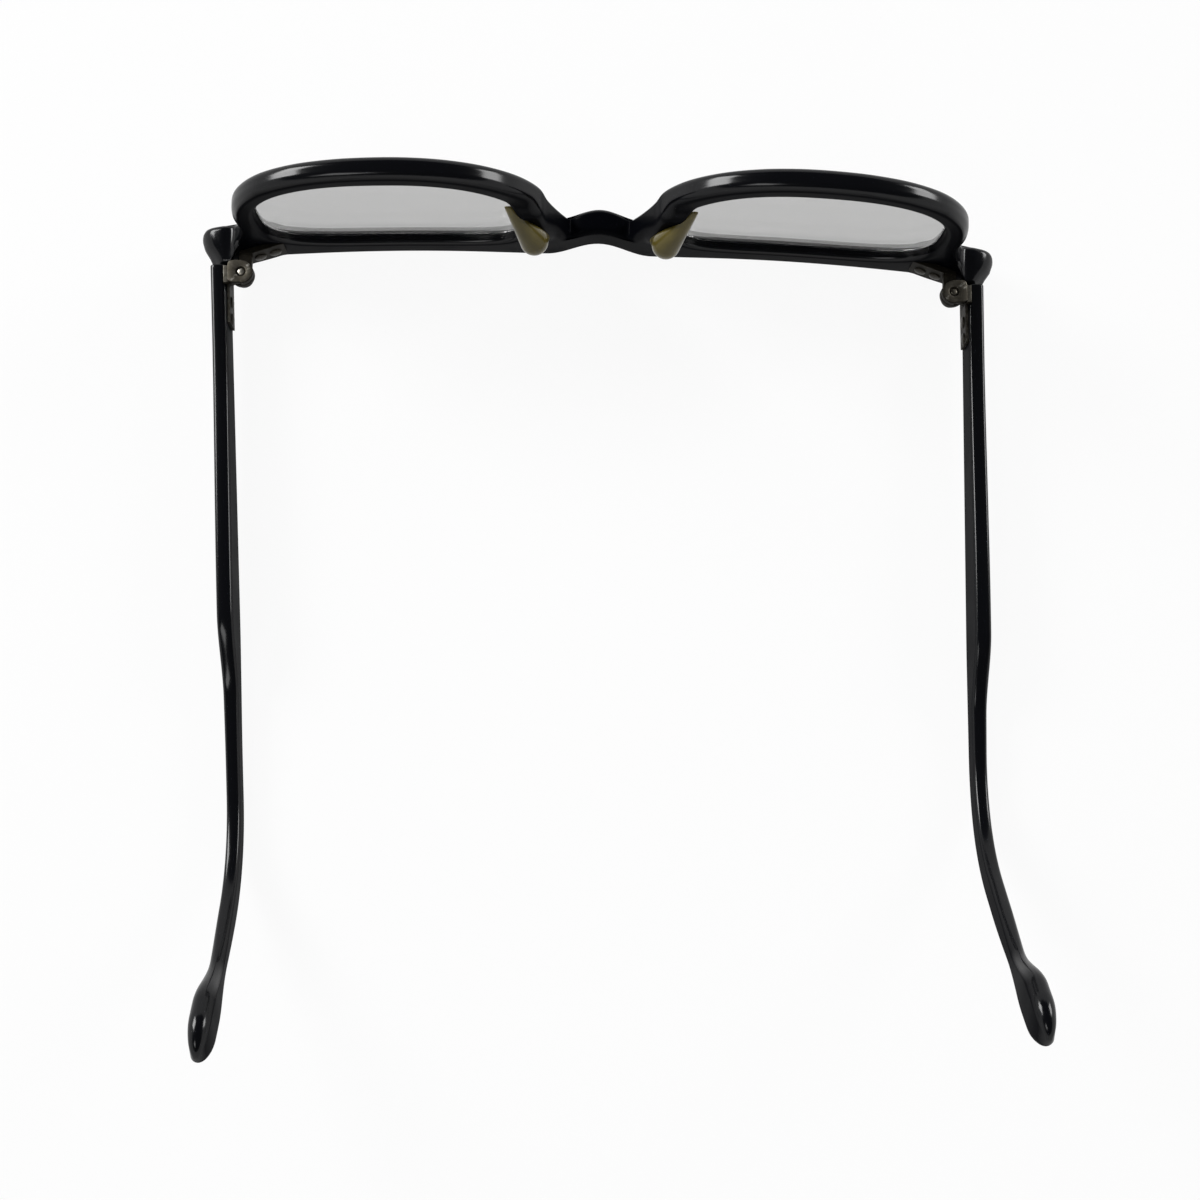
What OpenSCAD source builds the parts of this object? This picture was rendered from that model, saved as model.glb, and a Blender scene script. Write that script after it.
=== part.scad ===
/* [Front] */

// Width of the front over both endpieces
front_w = 143.2; // [142:0.2:145]

// Thickness of the rims, from the front face to the rear face
front_depth = 3.9; // [3.6:0.1:4.2]

// Lean of the front, its lower edge toward the face, in degrees
front_tilt = 6.5; // [4:0.5:9]

// Height of one lens opening
opening_h = 33.8; // [32:0.2:35]

// Distance between the two lens openings
nose_gap = 26.4; // [25.8:0.1:27]

// Distance from a lens opening to the outer end of the front
end_len = 12.2; // [12:0.05:12.6]

// Height of the brow bar along the upper edge
brow_h = 5.3; // [4.9:0.1:5.8]

// Width of the rim at the side of a lens
rim_w = 3.95; // [3.6:0.05:4.2]

// Height of the bridge at its middle
bridge_h = 7.4; // [6.8:0.1:8.2]

// How far the bridge stands forward of the rims
bridge_bulge = 2.5; // [1.5:0.1:3]

/* [Lenses] */

// Thickness of a lens
lens_t = 1.5; // [1.4:0.1:1.8]

// Depth of the groove that holds the edge of a lens
groove_depth = 0.65; // [0.5:0.05:0.8]

/* [Nose pads] */

// How far a nose pad stands behind the rim
pad_reach = 5.4; // [5:0.1:6]

// Radius of the rounded tip of a nose pad
pad_tip_r = 2.7; // [2.4:0.1:3]

/* [Hinges] */

// Radius of the hinge barrels
barrel_r = 2.15; // [2:0.05:2.2]

// Height of the three barrels together
hinge_h = 4; // [3.8:0.1:4.4]

// Diameter of the hinge screw
screw_d = 1.2; // [1.1:0.05:1.3]

// Diameter of the rivets
rivet_d = 1.4; // [1.3:0.05:1.5]

/* [Temples] */

// Distance from the butt of the right temple to the start of its bend
right_reach = 93.5; // [84:0.5:95]

// Distance from the butt of the left temple to the start of its bend
left_reach = 83.5; // [80:0.5:95]

// Angle by which the right tip turns down behind the ear, in degrees
right_bend = 38.5; // [36:0.5:47]

// Angle by which the left tip turns down behind the ear, in degrees
left_bend = 46; // [36:0.5:47]

// Length of a temple along its upper edge
temple_len = 143; // [140:0.5:147]

// Thickness of a temple at the hinge
temple_t = 2.8; // [2.6:0.1:3]

// Height of a temple at the hinge
butt_h = 6.5; // [6.3:0.1:7.2]

// Height of a temple at its knee, the tallest place of the long straight part
knee_h = 8.5; // [8.2:0.1:9.2]

// Height of a temple at its bend
bend_h = 4.5; // [4.4:0.1:5.2]

// Height of a temple at its tip
tip_h = 8.6; // [8:0.1:9.2]

// How far both temples lean toward the left of the wearer, in degrees
temple_lean = 2.4; // [0:0.1:2.6]

/* [Hidden] */

// Half of the whole front and of the nose gap, and the width of one lens opening
half_w = front_w / 2;
nose_half = nose_gap / 2;
opening_w = half_w - nose_half - end_len;

// Lens opening: its middle, its reach to each side and the squareness of each corner
reach_nose = opening_w * 0.4827;
reach_out = opening_w - reach_nose;
reach_brow = opening_h * 0.41;
reach_low = opening_h - reach_brow;
eye_x = nose_half + reach_nose;
eye_z = brow_h + reach_brow;
square_low_out = 2.65;
square_low_nose = 2.35;
square_brow_nose = 4.1;
square_brow_out = 3.4;
eye_steps = 96;

// Rim outline round the lens
rim_nose_extra = 0.15;
rim_low_extra = 0.6;
rim_from = -6;
rim_to = 174;
rim_guides = 12;
outline_steps = 4;

// Brow, endpiece and bridge outline, in the plane of the front
brow_z = -0.5;
bridge_top = 0.5;
bridge_low = bridge_top + bridge_h;
bridge_half = nose_half * 0.41;
flank_x = nose_half - rim_w - rim_nose_extra;
brow_end_x = half_w - 17;
end_top_z = 9.7;
end_notch_x = half_w - 6;
end_mid_z = 6.5;

// Front seen from above: a long shallow curve with a bow at the bridge
front_y = 4.63;
bow_from = nose_half + 6.8;
bow_r = 420;
bow_half = nose_half * 0.72;
rear_bulge = bridge_bulge * 0.76;
end_round = 1.7;
plan_step = 1.5;
front_top = 46;

// Endpiece block behind the rim, with the seat of the hinge and the butt
seat_x0 = half_w - 14.6;
seat_y0 = -0.8;
seat_slope = 20;
block_in_x = half_w - 6.2;
butt_y = -6.3;
block_top = 10.6;
block_front_y = -0.4;
block_over = 1;

// Lens seat
lens_from_face = 0.7;
tongue_t = 0.7;
tongue_from_face = 1.1;
lens_fit = 0.05;

// Nose pad
pad_low_x = nose_half - 3.7;
pad_low_z = 10.2;
pad_high_x = nose_half + 2.1;
pad_high_z = 25.3;
pad_tip_x = nose_half - 2.2;
pad_tip_z = 17.6;
pad_end_r = 1;
pad_mid_r = pad_tip_r * 0.8;
pad_sink = 0.4;
pad_fn = 32;

// Hinge
hinge_x = half_w - 7.9;
hinge_y = -7.8;
hinge_z = 5.6;
barrel_gap = 0.06;
barrel_clear = 0.12;
barrel_n = 3;
low_barrel_r = barrel_r - 0.45;
barrel_each = (hinge_h - (barrel_n - 1) * barrel_gap) / barrel_n;
pin_fit = 0.03;
thread_fit = 0.01;
plate_t = 1.1;
plate_w = 8;
plate_z0 = 3.6;
plate_h = 4.7;
neck_w = 2.3;
neck_out = 0.7;
neck_front = 1.1;
plate_fit = 0.05;
leaf_t = 0.9;
leaf_sink = 0.4;
leaf_from = 0.2;
leaf_len = 10.4;
leaf_z0 = 3.6;
leaf_h = 4.6;
tab_len = 3.4;
head_d = 2.1;
head_h = 0.5;
sink_d = 1.9;
sink_h = 0.45;
slot_w = 0.3;
slot_h = 0.25;
hinge_fn = 48;

// Rivets
rivet_fit = 0.01;
rivet_head_d = 2.1;
rivet_head_h = 0.4;
front_rivet_z = 5.6;
front_rivet_at = [1.9, 4.7];
front_rivet_len = 7;
temple_rivet_z = 6.3;
temple_rivet_at = [6.1, 9.2];
rivet_span = 20;

// Temple seen from above and from the side
butt_gap = 0.12;
temple_y0 = butt_y - butt_gap;
temple_x0 = half_w - 2.3 - temple_t / 2;
temple_edge_z = 2.6;
bend_r = 33.5;
knee_at = 63;
knee_end = 77;
plan_taper = 0.039;
flare_from = 96;
flare = 1.6;
flare_len = 36;
thin_t = 2.4;
thin_from = 62;
thin_to = 90;
paddle_from = 24;
paddle_to = 8;
side_step = 2;
turn_step = 4;
tip_round = 4.2;

// Core wire inside a temple
core_w = 0.9;
core_h = 1.4;
core_up = 1.3;
core_from = 1;
core_stop = 14;
core_fit = 0.05;

// A number kept between zero and one, and the smooth rise between two places
function clamp01(v) = min(max(v, 0), 1);
function smooth(v) = clamp01(v) * clamp01(v) * (3 - 2 * clamp01(v));
function rise(s, from, to) = smooth((s - from) / (to - from));

// Point of a smooth curve between b and c, with a and d as the points either side
function between(a, b, c, d, t) =
    0.5 * (2 * b + (c - a) * t + (2 * a - 5 * b + 4 * c - d) * t * t
        + (3 * b - a - 3 * c + d) * t * t * t);

// Mirror image of a point across the middle of the front
function across(p) = [-p[0], p[1]];

// Edge of the lens opening
function eye_square(a) =
    sin(a) >= 0
        ? (cos(a) >= 0 ? square_low_out : square_low_nose)
        : (cos(a) >= 0 ? square_brow_out : square_brow_nose);
function eye_half_x(a) = cos(a) >= 0 ? reach_out : reach_nose;
function eye_half_z(a) = sin(a) >= 0 ? reach_low : reach_brow;
function eye_r(a) =
    pow(
        pow(abs(cos(a)) / eye_half_x(a), eye_square(a))
            + pow(abs(sin(a)) / eye_half_z(a), eye_square(a)),
        -1 / eye_square(a)
    );
function eye_point(a, grow) =
    [eye_x + (eye_r(a) + grow) * cos(a), eye_z + (eye_r(a) + grow) * sin(a)];

// Outer edge of the rim, and of the whole half front
function rim_at(a) = rim_w - rim_nose_extra * cos(a) + rim_low_extra * sin(a) * sin(a);
function rim_point(a) = eye_point(a, rim_at(a));
brow_guides = [
    [0, bridge_top],
    [bridge_half, bridge_top - 0.25],
    [nose_half * 0.76, brow_z + 0.2],
    [nose_half * 1.21, brow_z],
    [eye_x, brow_z],
    [brow_end_x, brow_z],
    [half_w - 9, brow_z + 0.5],
    [half_w - 3.4, brow_z + 2.2],
    [half_w - 0.7, end_mid_z - 3],
    [half_w, end_mid_z],
    [half_w - 0.5, end_top_z - 2.1],
    [half_w - 1.6, end_top_z - 1.2],
    [half_w - 3.6, end_top_z - 0.6],
    [end_notch_x, end_top_z + 0.3],
];
rim_guide_points = [
    for (i = [0 : rim_guides]) rim_point(rim_from + (rim_to - rim_from) * i / rim_guides)
];
bridge_guides = [
    [flank_x * 0.84, eye_z - 4.7],
    [flank_x * 0.725, bridge_low + 2.3],
    [flank_x * 0.593, bridge_low - 0.1],
    [flank_x * 0.33, bridge_low - 0.2],
    [0, bridge_low],
];
guides = concat(brow_guides, rim_guide_points, bridge_guides);
last = len(guides) - 1;
half_outline = concat(
    [
        for (i = [0 : last - 1])
            for (k = [0 : outline_steps - 1])
                between(
                    i == 0 ? across(guides[1]) : guides[i - 1],
                    guides[i],
                    guides[i + 1],
                    i == last - 1 ? across(guides[last - 1]) : guides[i + 2],
                    k / outline_steps
                )
    ],
    [guides[last]]
);

// Front and rear face seen from above
function bow(x) = pow(max(x - bow_from, 0), 2) / (2 * bow_r);
function bulge(x) = x < bow_half ? pow(cos(90 * x / bow_half), 2) : 0;
function end_drop(x) =
    x > half_w - end_round
        ? end_round - sqrt(max(pow(end_round, 2) - pow(x - half_w + end_round, 2), 0))
        : 0;
function face_y(x) = front_y - bow(x) + bridge_bulge * bulge(x) - end_drop(x);
function rear_y(x) = front_y - front_depth - bow(x) + rear_bulge * bulge(x);
plan_xs = concat([for (x = [0 : plan_step : half_w - end_round]) x],
    [for (a = [0 : 15 : 90]) half_w - end_round + end_round * sin(a)]);
function reversed(list) = [for (i = [len(list) - 1 : -1 : 0]) list[i]];

// Seat of the front hinge plate, seen from above
function seat_y(x) = seat_y0 - (x - seat_x0) * tan(seat_slope);

// Temple seen from above: distance s is measured from its butt
function temple_x(s) =
    temple_x0 - plan_taper * s + flare * pow(max(s - flare_from, 0) / flare_len, 2);
function half_t(s) = (temple_t - (temple_t - thin_t) * rise(s, thin_from, thin_to)) / 2;

// Upper edge of a temple seen from the side, as [y, z, direction], s along the edge
function reach(side) = side < 0 ? right_reach : left_reach;
function bend(side) = side < 0 ? right_bend : left_bend;
function slope(side) = asin(temple_edge_z / reach(side));
function arc_len(side) = bend_r * (bend(side) + slope(side)) * PI / 180;
function bent_point(s, side) =
    let (down = slope(side))
    let (a = min((s - reach(side)) / bend_r * 180 / PI, bend(side) + down) - down)
    let (rest = max(s - reach(side) - arc_len(side), 0))
    [
        temple_y0 - reach(side) * cos(down) - bend_r * (sin(down) + sin(a)) - rest * cos(a),
        bend_r * (1 - cos(a)) + rest * sin(a),
        a,
    ];
function edge_point(s, side) =
    let (down = slope(side))
    s <= reach(side)
        ? [
            temple_y0 - s * cos(down),
            bend_r * (1 - cos(down)) + (reach(side) - s) * sin(down),
            -down,
        ]
        : bent_point(s, side);
function temple_h(s) =
    butt_h + (knee_h - butt_h) * rise(s, 10, knee_at)
        - (knee_h - bend_h) * rise(s, knee_at, knee_end)
        + (tip_h - bend_h) * rise(s, temple_len - paddle_from, temple_len - paddle_to);
function off_edge(s, up, side) =
    let (p = edge_point(s, side))
    [p[0] + up * sin(p[2]), p[1] + up * cos(p[2])];
function side_stations(from, to) = concat([for (s = [from : side_step : to - side_step / 2]) s], [to]);

// Rounded end of a temple in its side view
function tip_arc(side) =
    let (p = edge_point(temple_len, side))
    [
        for (a = [-75 : 15 : 75])
            let (back = tip_round * cos(a))
            let (up = tip_h / 2 + tip_h / 2 * sin(a))
            [p[0] - back * cos(p[2]) + up * sin(p[2]), p[1] + back * sin(p[2]) + up * cos(p[2])]
    ];

// Shift that puts the middle of the whole length over the origin
rearmost = min([for (side = [-1, 1]) for (p = tip_arc(side)) p[0]]);
placed_y = -(front_y + bridge_bulge + rearmost) / 2;

// Puts a left half on the side asked for
module on_side(side) {
    if (side < 0) {
        mirror([1, 0, 0]) children();
    } else {
        children();
    }
}

// Moves a finished piece to its place in the whole
module placed() {
    translate([0, placed_y, 0]) children();
}

// Turns the temple of one side about its hinge by the shared lean
module leaned(side) {
    translate([side * hinge_x, hinge_y, 0])
        rotate([0, 0, temple_lean])
            translate([-side * hinge_x, -hinge_y, 0])
                children();
}

// Leans the plane of the front
module tilted() {
    rotate([front_tilt, 0, 0]) children();
}

// Prism through the front, from an outline in its plane
module through_front() {
    translate([0, bow_from, 0])
        rotate([90, 0, 0])
            linear_extrude(2 * bow_from)
                children();
}

module eye_outline(grow) {
    polygon([for (i = [0 : eye_steps - 1]) eye_point(360 * i / eye_steps, grow)]);
}

// Band between two depths behind the front face, seen from above
module face_band(from, to) {
    linear_extrude(front_top)
        polygon(concat(
            [for (x = plan_xs) [x, face_y(x) - from]],
            [for (x = reversed(plan_xs)) [x, face_y(x) - to]]
        ));
}

module rim_plan() {
    translate([0, 0, -block_over])
        linear_extrude(front_top)
            polygon(concat(
                [for (x = plan_xs) [x, face_y(x)]],
                [for (x = reversed(plan_xs)) [x, min(rear_y(x), face_y(x) - block_over)]]
            ));
}

// Everything of one half front up to its rear face, before any opening
module half_body() {
    tilted()
        intersection() {
            rim_plan();
            through_front() polygon(half_outline);
        }
}

// Block behind the end of the brow, for the hinge seat and the butt
module end_block() {
    intersection() {
        linear_extrude(block_top)
            polygon([
                [seat_x0 - 1.5, block_front_y],
                [seat_x0 - 1.5, rear_y(seat_x0) - 0.4],
                [seat_x0, seat_y0],
                [block_in_x - 0.8, seat_y(block_in_x - 0.8)],
                [block_in_x, seat_y(block_in_x) - 0.7],
                [block_in_x, butt_y - block_over],
                [half_w - 2.2, butt_y - block_over],
                [half_w - 2.1, butt_y + 0.4],
                [half_w - 1.45, butt_y + 1.7],
                [half_w - 0.55, butt_y + 3],
                [half_w - 0.1, butt_y + 4.4],
                [half_w - 0.6, block_front_y - 0.2],
                [half_w - 5, block_front_y + 0.4],
            ]);
        tilted() through_front() polygon(half_outline);
    }
}

// Everything behind the butt of the temple of one side
module behind_butt(side) {
    leaned(side)
        on_side(side)
            translate([block_in_x - 6, butt_y - half_w, -block_top])
                cube([half_w, half_w, 3 * block_top]);
}

module half_front(side) {
    difference() {
        on_side(side)
            difference() {
                union() {
                    half_body();
                    end_block();
                }
                tilted() through_front() eye_outline(0);
                tilted()
                    intersection() {
                        face_band(tongue_from_face - lens_fit,
                            tongue_from_face + tongue_t + lens_fit);
                        through_front() eye_outline(groove_depth + lens_fit);
                    }
                front_rivet_pins(rivet_d / 2 + rivet_fit);
                on_seat()
                    translate([-plate_fit, -plate_w, plate_z0 - plate_fit])
                        cube([plate_w + plate_fit, plate_w, plate_h + 2 * plate_fit]);
                translate([-block_over, -half_w, -half_w]) cube([2 * half_w, 2 * half_w, half_w]);
            }
        behind_butt(side);
    }
}

module front() {
    color("#0b0d12")
        placed()
            union() {
                half_front(-1);
                half_front(1);
            }
}

module lens(side) {
    color("#c9ccd0")
        on_side(side)
            tilted()
                union() {
                    intersection() {
                        face_band(lens_from_face, lens_from_face + lens_t);
                        through_front() eye_outline(-lens_fit);
                    }
                    intersection() {
                        face_band(tongue_from_face, tongue_from_face + tongue_t);
                        through_front() eye_outline(groove_depth - lens_fit);
                    }
                }
}

module pad_ball(x, back, z, r) {
    translate([x, rear_y(x) - back, z]) sphere(r = r, $fn = pad_fn);
}

module nose_pad(side) {
    color("#8b7f3a")
        on_side(side)
            tilted()
                difference() {
                    hull() {
                        pad_ball(pad_low_x, -pad_sink, pad_low_z, pad_end_r);
                        pad_ball(pad_high_x, -pad_sink, pad_high_z, pad_end_r);
                        pad_ball(pad_tip_x, pad_reach - pad_tip_r, pad_tip_z, pad_tip_r);
                        pad_ball(pad_tip_x + 0.9, -pad_sink, pad_tip_z + 1, pad_mid_r);
                    }
                    rim_plan();
                }
}

// Carries parts from the seat line of the front hinge plate, with x along the plate
module on_seat() {
    translate([seat_x0, seat_y0, 0]) rotate([0, 0, -seat_slope]) children();
}

module front_rivet_pins(r) {
    for (x = front_rivet_at)
        on_seat()
            translate([x, -plate_t - rivet_head_h, front_rivet_z])
                rotate([-90, 0, 0])
                    cylinder(h = front_rivet_len + 2 * plate_t, r = r, $fn = hinge_fn);
}

module front_rivet_heads(r) {
    for (x = front_rivet_at)
        on_seat()
            translate([x, -plate_t - rivet_head_h, front_rivet_z])
                rotate([-90, 0, 0])
                    cylinder(h = rivet_head_h, r = r, $fn = hinge_fn);
}

module front_rivets(side) {
    color("#b4b0a4")
        on_side(side) {
            intersection() {
                front_rivet_pins(rivet_d / 2);
                union() {
                    tilted() rim_plan();
                    on_seat()
                        translate([0, -2 * plate_t, 0]) cube([plate_w, 4 * plate_t, block_top]);
                }
            }
            front_rivet_heads(rivet_head_d / 2);
        }
}

function barrel_z(i) = hinge_z + i * (barrel_each + barrel_gap);

module barrel(i, bore) {
    translate([hinge_x, hinge_y, barrel_z(i)])
        difference() {
            cylinder(h = barrel_each, r = i == 0 ? low_barrel_r : barrel_r, $fn = hinge_fn);
            translate([0, 0, -barrel_gap])
                cylinder(h = barrel_each + 2 * barrel_gap, r = bore, $fn = hinge_fn);
        }
}

module front_hinge(side) {
    color("#a39f92")
        on_side(side)
            difference() {
                union() {
                    on_seat()
                        translate([0, -plate_t, plate_z0]) cube([plate_w, plate_t, plate_h]);
                    barrel(1, 0.1);
                    translate([hinge_x + neck_out - neck_w, hinge_y, barrel_z(1)])
                        cube([neck_w, seat_y(hinge_x + neck_out) - hinge_y, barrel_each]);
                }
                translate([hinge_x, hinge_y, 0])
                    cylinder(h = block_top, r = screw_d / 2 + pin_fit, $fn = hinge_fn);
                front_rivet_pins(rivet_d / 2 + rivet_fit);
                front_rivet_heads(rivet_head_d / 2 + rivet_fit);
                on_seat() cube([plate_w, plate_w, block_top]);
            }
}

// Inner face of a temple at a distance from its butt
function inner_x(s) = temple_x(s) - half_t(s);

// Part of the hinge leaf of a temple, let into the inner face, made bigger by grow for its pocket
module leaf_part(to, top, grow) {
    from = leaf_from - grow;
    end = to + grow;
    translate([leaf_sink, 0, leaf_z0 - grow])
        linear_extrude(top - leaf_z0 + 2 * grow)
            polygon([
                [inner_x(from), temple_y0 - from],
                [inner_x(end), temple_y0 - end],
                [inner_x(end) - leaf_t, temple_y0 - end],
                [inner_x(from) - leaf_t, temple_y0 - from],
            ]);
}

module leaf(grow) {
    leaf_part(leaf_len, leaf_z0 + leaf_h, grow);
    leaf_part(tab_len, hinge_z + hinge_h, grow);
}

module temple_hinge(side) {
    color("#a39f92")
        leaned(side)
            on_side(side)
                difference() {
                    union() {
                        leaf(0);
                        for (i = [0, 2]) {
                            barrel(i, screw_d / 2 + thread_fit);
                            translate([hinge_x, hinge_y - low_barrel_r, barrel_z(i)])
                                difference() {
                                    cube([
                                        inner_x(4) - hinge_x - 0.3,
                                        low_barrel_r + neck_front,
                                        barrel_each,
                                    ]);
                                    translate([0, low_barrel_r, -barrel_gap])
                                        cylinder(h = hinge_h, r = low_barrel_r - 0.3,
                                            $fn = hinge_fn);
                                }
                        }
                    }
                    translate([hinge_x, hinge_y, hinge_z + hinge_h - sink_h])
                        cylinder(h = 2 * sink_h, r1 = screw_d / 2 + thread_fit,
                            r2 = sink_d - screw_d / 2, $fn = hinge_fn);
                    translate([hinge_x, hinge_y, hinge_z - head_h])
                        cylinder(h = 2 * head_h, r = head_d / 2 + thread_fit, $fn = hinge_fn);
                    translate([hinge_x, hinge_y, barrel_z(1) - barrel_gap])
                        cylinder(h = barrel_each + 2 * barrel_gap, r = barrel_r + barrel_clear,
                            $fn = hinge_fn);
                    temple_rivet_pins(rivet_d / 2 + rivet_fit);
                    temple_rivet_heads();
                }
}

// Where the head of a temple rivet starts
function rivet_x(s) = inner_x(s) + leaf_sink - leaf_t - rivet_head_h;

module temple_rivet_pins(r) {
    for (s = temple_rivet_at)
        translate([rivet_x(s), temple_y0 - s, temple_rivet_z])
            rotate([0, 90, 0])
                cylinder(h = 3 * temple_t, r = r, $fn = hinge_fn);
}

module temple_rivet_heads() {
    for (s = temple_rivet_at)
        translate([rivet_x(s), temple_y0 - s, temple_rivet_z])
            rotate([0, 90, 0])
                cylinder(h = rivet_head_h, r = rivet_head_d / 2, $fn = hinge_fn);
}

module temple_rivets(side) {
    color("#b4b0a4")
        leaned(side)
            on_side(side) {
                intersection() {
                    temple_rivet_pins(rivet_d / 2);
                    linear_extrude(2 * block_top)
                        polygon([
                            [inner_x(0) - 2 * leaf_t, temple_y0],
                            [temple_x(0) + half_t(0), temple_y0],
                            [temple_x(rivet_span) + half_t(rivet_span), temple_y0 - rivet_span],
                            [inner_x(rivet_span) - 2 * leaf_t, temple_y0 - rivet_span],
                        ]);
                }
                temple_rivet_heads();
            }
}

module hinge_screw(side) {
    color("#c6c3ba")
        leaned(side)
            on_side(side)
                translate([hinge_x, hinge_y, hinge_z])
                    difference() {
                        union() {
                            cylinder(h = hinge_h - 0.1, r = screw_d / 2, $fn = hinge_fn);
                            cylinder(h = head_h, r = head_d / 2, $fn = hinge_fn);
                        }
                        translate([-head_d, -slot_w / 2, -slot_h])
                            cube([2 * head_d, slot_w, 2 * slot_h]);
                    }
}

// Side view of a temple, as a prism
module side_prism(side) {
    ss = side_stations(0, temple_len);
    rotate([90, 0, 90])
        linear_extrude(2 * half_w)
            polygon(concat(
                [for (s = ss) off_edge(s, 0, side)],
                tip_arc(side),
                [for (s = reversed(ss)) off_edge(s, temple_h(s), side)]
            ));
}

// Plan view of a temple, as a prism
module temple_plan() {
    ss = side_stations(0, temple_len);
    translate([0, 0, -block_top])
        linear_extrude(8 * block_top)
            polygon(concat(
                [for (s = ss) [temple_x(s) + half_t(s), temple_y0 - s]],
                [for (s = reversed(ss)) [temple_x(s) - half_t(s), temple_y0 - s]]
            ));
}

// Core wire of a temple, made bigger all round by grow for its channel
module core_shape(side, grow) {
    ss = side_stations(core_from - grow, temple_len - core_stop + grow);
    intersection() {
        rotate([90, 0, 90])
            linear_extrude(2 * half_w)
                polygon(concat(
                    [for (s = ss) off_edge(s, core_up - grow, side)],
                    [for (s = reversed(ss)) off_edge(s, core_up + core_h + grow, side)]
                ));
        translate([0, 0, -block_top])
            linear_extrude(8 * block_top)
                polygon(concat(
                    [for (s = ss) [temple_x(s) + core_w / 2 + grow, temple_y0 - s]],
                    [for (s = reversed(ss)) [temple_x(s) - core_w / 2 - grow, temple_y0 - s]]
                ));
    }
}

module temple(side) {
    color("#0b0d12")
        leaned(side)
            on_side(side)
                difference() {
                    intersection() {
                        side_prism(side);
                        temple_plan();
                    }
                    core_shape(side, core_fit);
                    core_mouth();
                    leaf(plate_fit);
                    temple_rivet_pins(rivet_d / 2 + rivet_fit);
                }
}

// Short way out of the butt, through which the core wire goes in
module core_mouth() {
    translate([
        temple_x(0) - core_w / 2 - core_fit,
        temple_y0 - 2 * core_from,
        temple_edge_z + core_up - core_fit,
    ])
        cube([core_w + 2 * core_fit, 4 * core_from, core_h + 2 * core_fit]);
}

module temple_core(side) {
    color("#8f8c84")
        leaned(side)
            on_side(side)
                core_shape(side, 0);
}

module right_lens() {
    placed() lens(-1);
}

module left_lens() {
    placed() lens(1);
}

module right_nose_pad() {
    placed() nose_pad(-1);
}

module left_nose_pad() {
    placed() nose_pad(1);
}

module right_front_hinge() {
    placed() front_hinge(-1);
}

module left_front_hinge() {
    placed() front_hinge(1);
}

module right_front_rivets() {
    placed() front_rivets(-1);
}

module left_front_rivets() {
    placed() front_rivets(1);
}

module right_temple_hinge() {
    placed() temple_hinge(-1);
}

module left_temple_hinge() {
    placed() temple_hinge(1);
}

module right_temple_rivets() {
    placed() temple_rivets(-1);
}

module left_temple_rivets() {
    placed() temple_rivets(1);
}

module right_hinge_screw() {
    placed() hinge_screw(-1);
}

module left_hinge_screw() {
    placed() hinge_screw(1);
}

module right_temple() {
    placed() temple(-1);
}

module left_temple() {
    placed() temple(1);
}

module right_temple_core() {
    placed() temple_core(-1);
}

module left_temple_core() {
    placed() temple_core(1);
}

front();
right_lens();
left_lens();
right_nose_pad();
left_nose_pad();
right_front_hinge();
left_front_hinge();
right_front_rivets();
left_front_rivets();
right_temple_hinge();
left_temple_hinge();
right_temple_rivets();
left_temple_rivets();
right_hinge_screw();
left_hinge_screw();
right_temple();
left_temple();
right_temple_core();
left_temple_core();
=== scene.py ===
"""Horn-rimmed eyeglass frame, lying upside down on its brow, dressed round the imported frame.

Every piece is built from the sizes of the real frame in millimetres, with the front standing on
the plane z = 0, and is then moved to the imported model's place and turned into metres.
"""

import logging
import math
from collections.abc import Callable
from dataclasses import dataclass
from enum import Enum

import bmesh
import bpy
import numpy as np
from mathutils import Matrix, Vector

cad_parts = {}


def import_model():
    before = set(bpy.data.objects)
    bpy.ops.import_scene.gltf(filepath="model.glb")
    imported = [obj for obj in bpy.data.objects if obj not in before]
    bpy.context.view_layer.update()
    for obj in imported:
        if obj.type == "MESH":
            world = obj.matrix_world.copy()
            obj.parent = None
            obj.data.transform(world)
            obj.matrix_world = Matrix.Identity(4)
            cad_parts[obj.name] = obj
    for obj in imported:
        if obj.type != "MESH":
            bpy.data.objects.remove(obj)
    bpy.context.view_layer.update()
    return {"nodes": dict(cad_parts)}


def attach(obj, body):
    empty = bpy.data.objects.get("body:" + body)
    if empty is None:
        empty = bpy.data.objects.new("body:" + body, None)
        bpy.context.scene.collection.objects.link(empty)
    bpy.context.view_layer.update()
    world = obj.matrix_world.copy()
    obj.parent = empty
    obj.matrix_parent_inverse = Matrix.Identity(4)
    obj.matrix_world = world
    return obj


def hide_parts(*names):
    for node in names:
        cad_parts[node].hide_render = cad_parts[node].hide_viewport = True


LOG = logging.getLogger("eyeglass_frame")
MM = 0.001
WELD = 0.002  # mm between points that are joined
SLIVER = 0.0005  # mm length of edges that are dropped
AXIS_GAP = 0.02  # mm round the axis, where a turned solid begins
# Faces above this share keep the plain finish in dress; the other faces of that piece get painted shade.
UPWARD = 0.75  # least share of up in the normal of a face that looks up

Triple = tuple[float, float, float]
Pair = tuple[float, float]
Marks = tuple[float, ...]
Socket = bpy.types.NodeSocket


class Side(Enum):
    """Side of the wearer. The frame lies upside down, so the right side is at -X."""

    RIGHT = -1
    LEFT = 1

    @property
    def word(self) -> str:
        """Name of the side as the nodes spell it."""
        return self.name.lower()

    def mirrored(self, points: np.ndarray) -> np.ndarray:
        """Puts points of the left half on this side."""
        return points * np.array([self.value, 1.0, 1.0])


def rise(value: np.ndarray, start: float, end: float) -> np.ndarray:
    """Smooth step from 0 at start to 1 at end."""
    part = np.clip((np.asarray(value, dtype=float) - start) / (end - start), 0.0, 1.0)
    return part * part * (3.0 - 2.0 * part)


def within(value: np.ndarray, marks: Marks) -> np.ndarray:
    """Share that rises between the first two marks and falls between the last two."""
    return rise(value, *marks[:2]) * (1 - rise(value, *marks[2:]))


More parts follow.
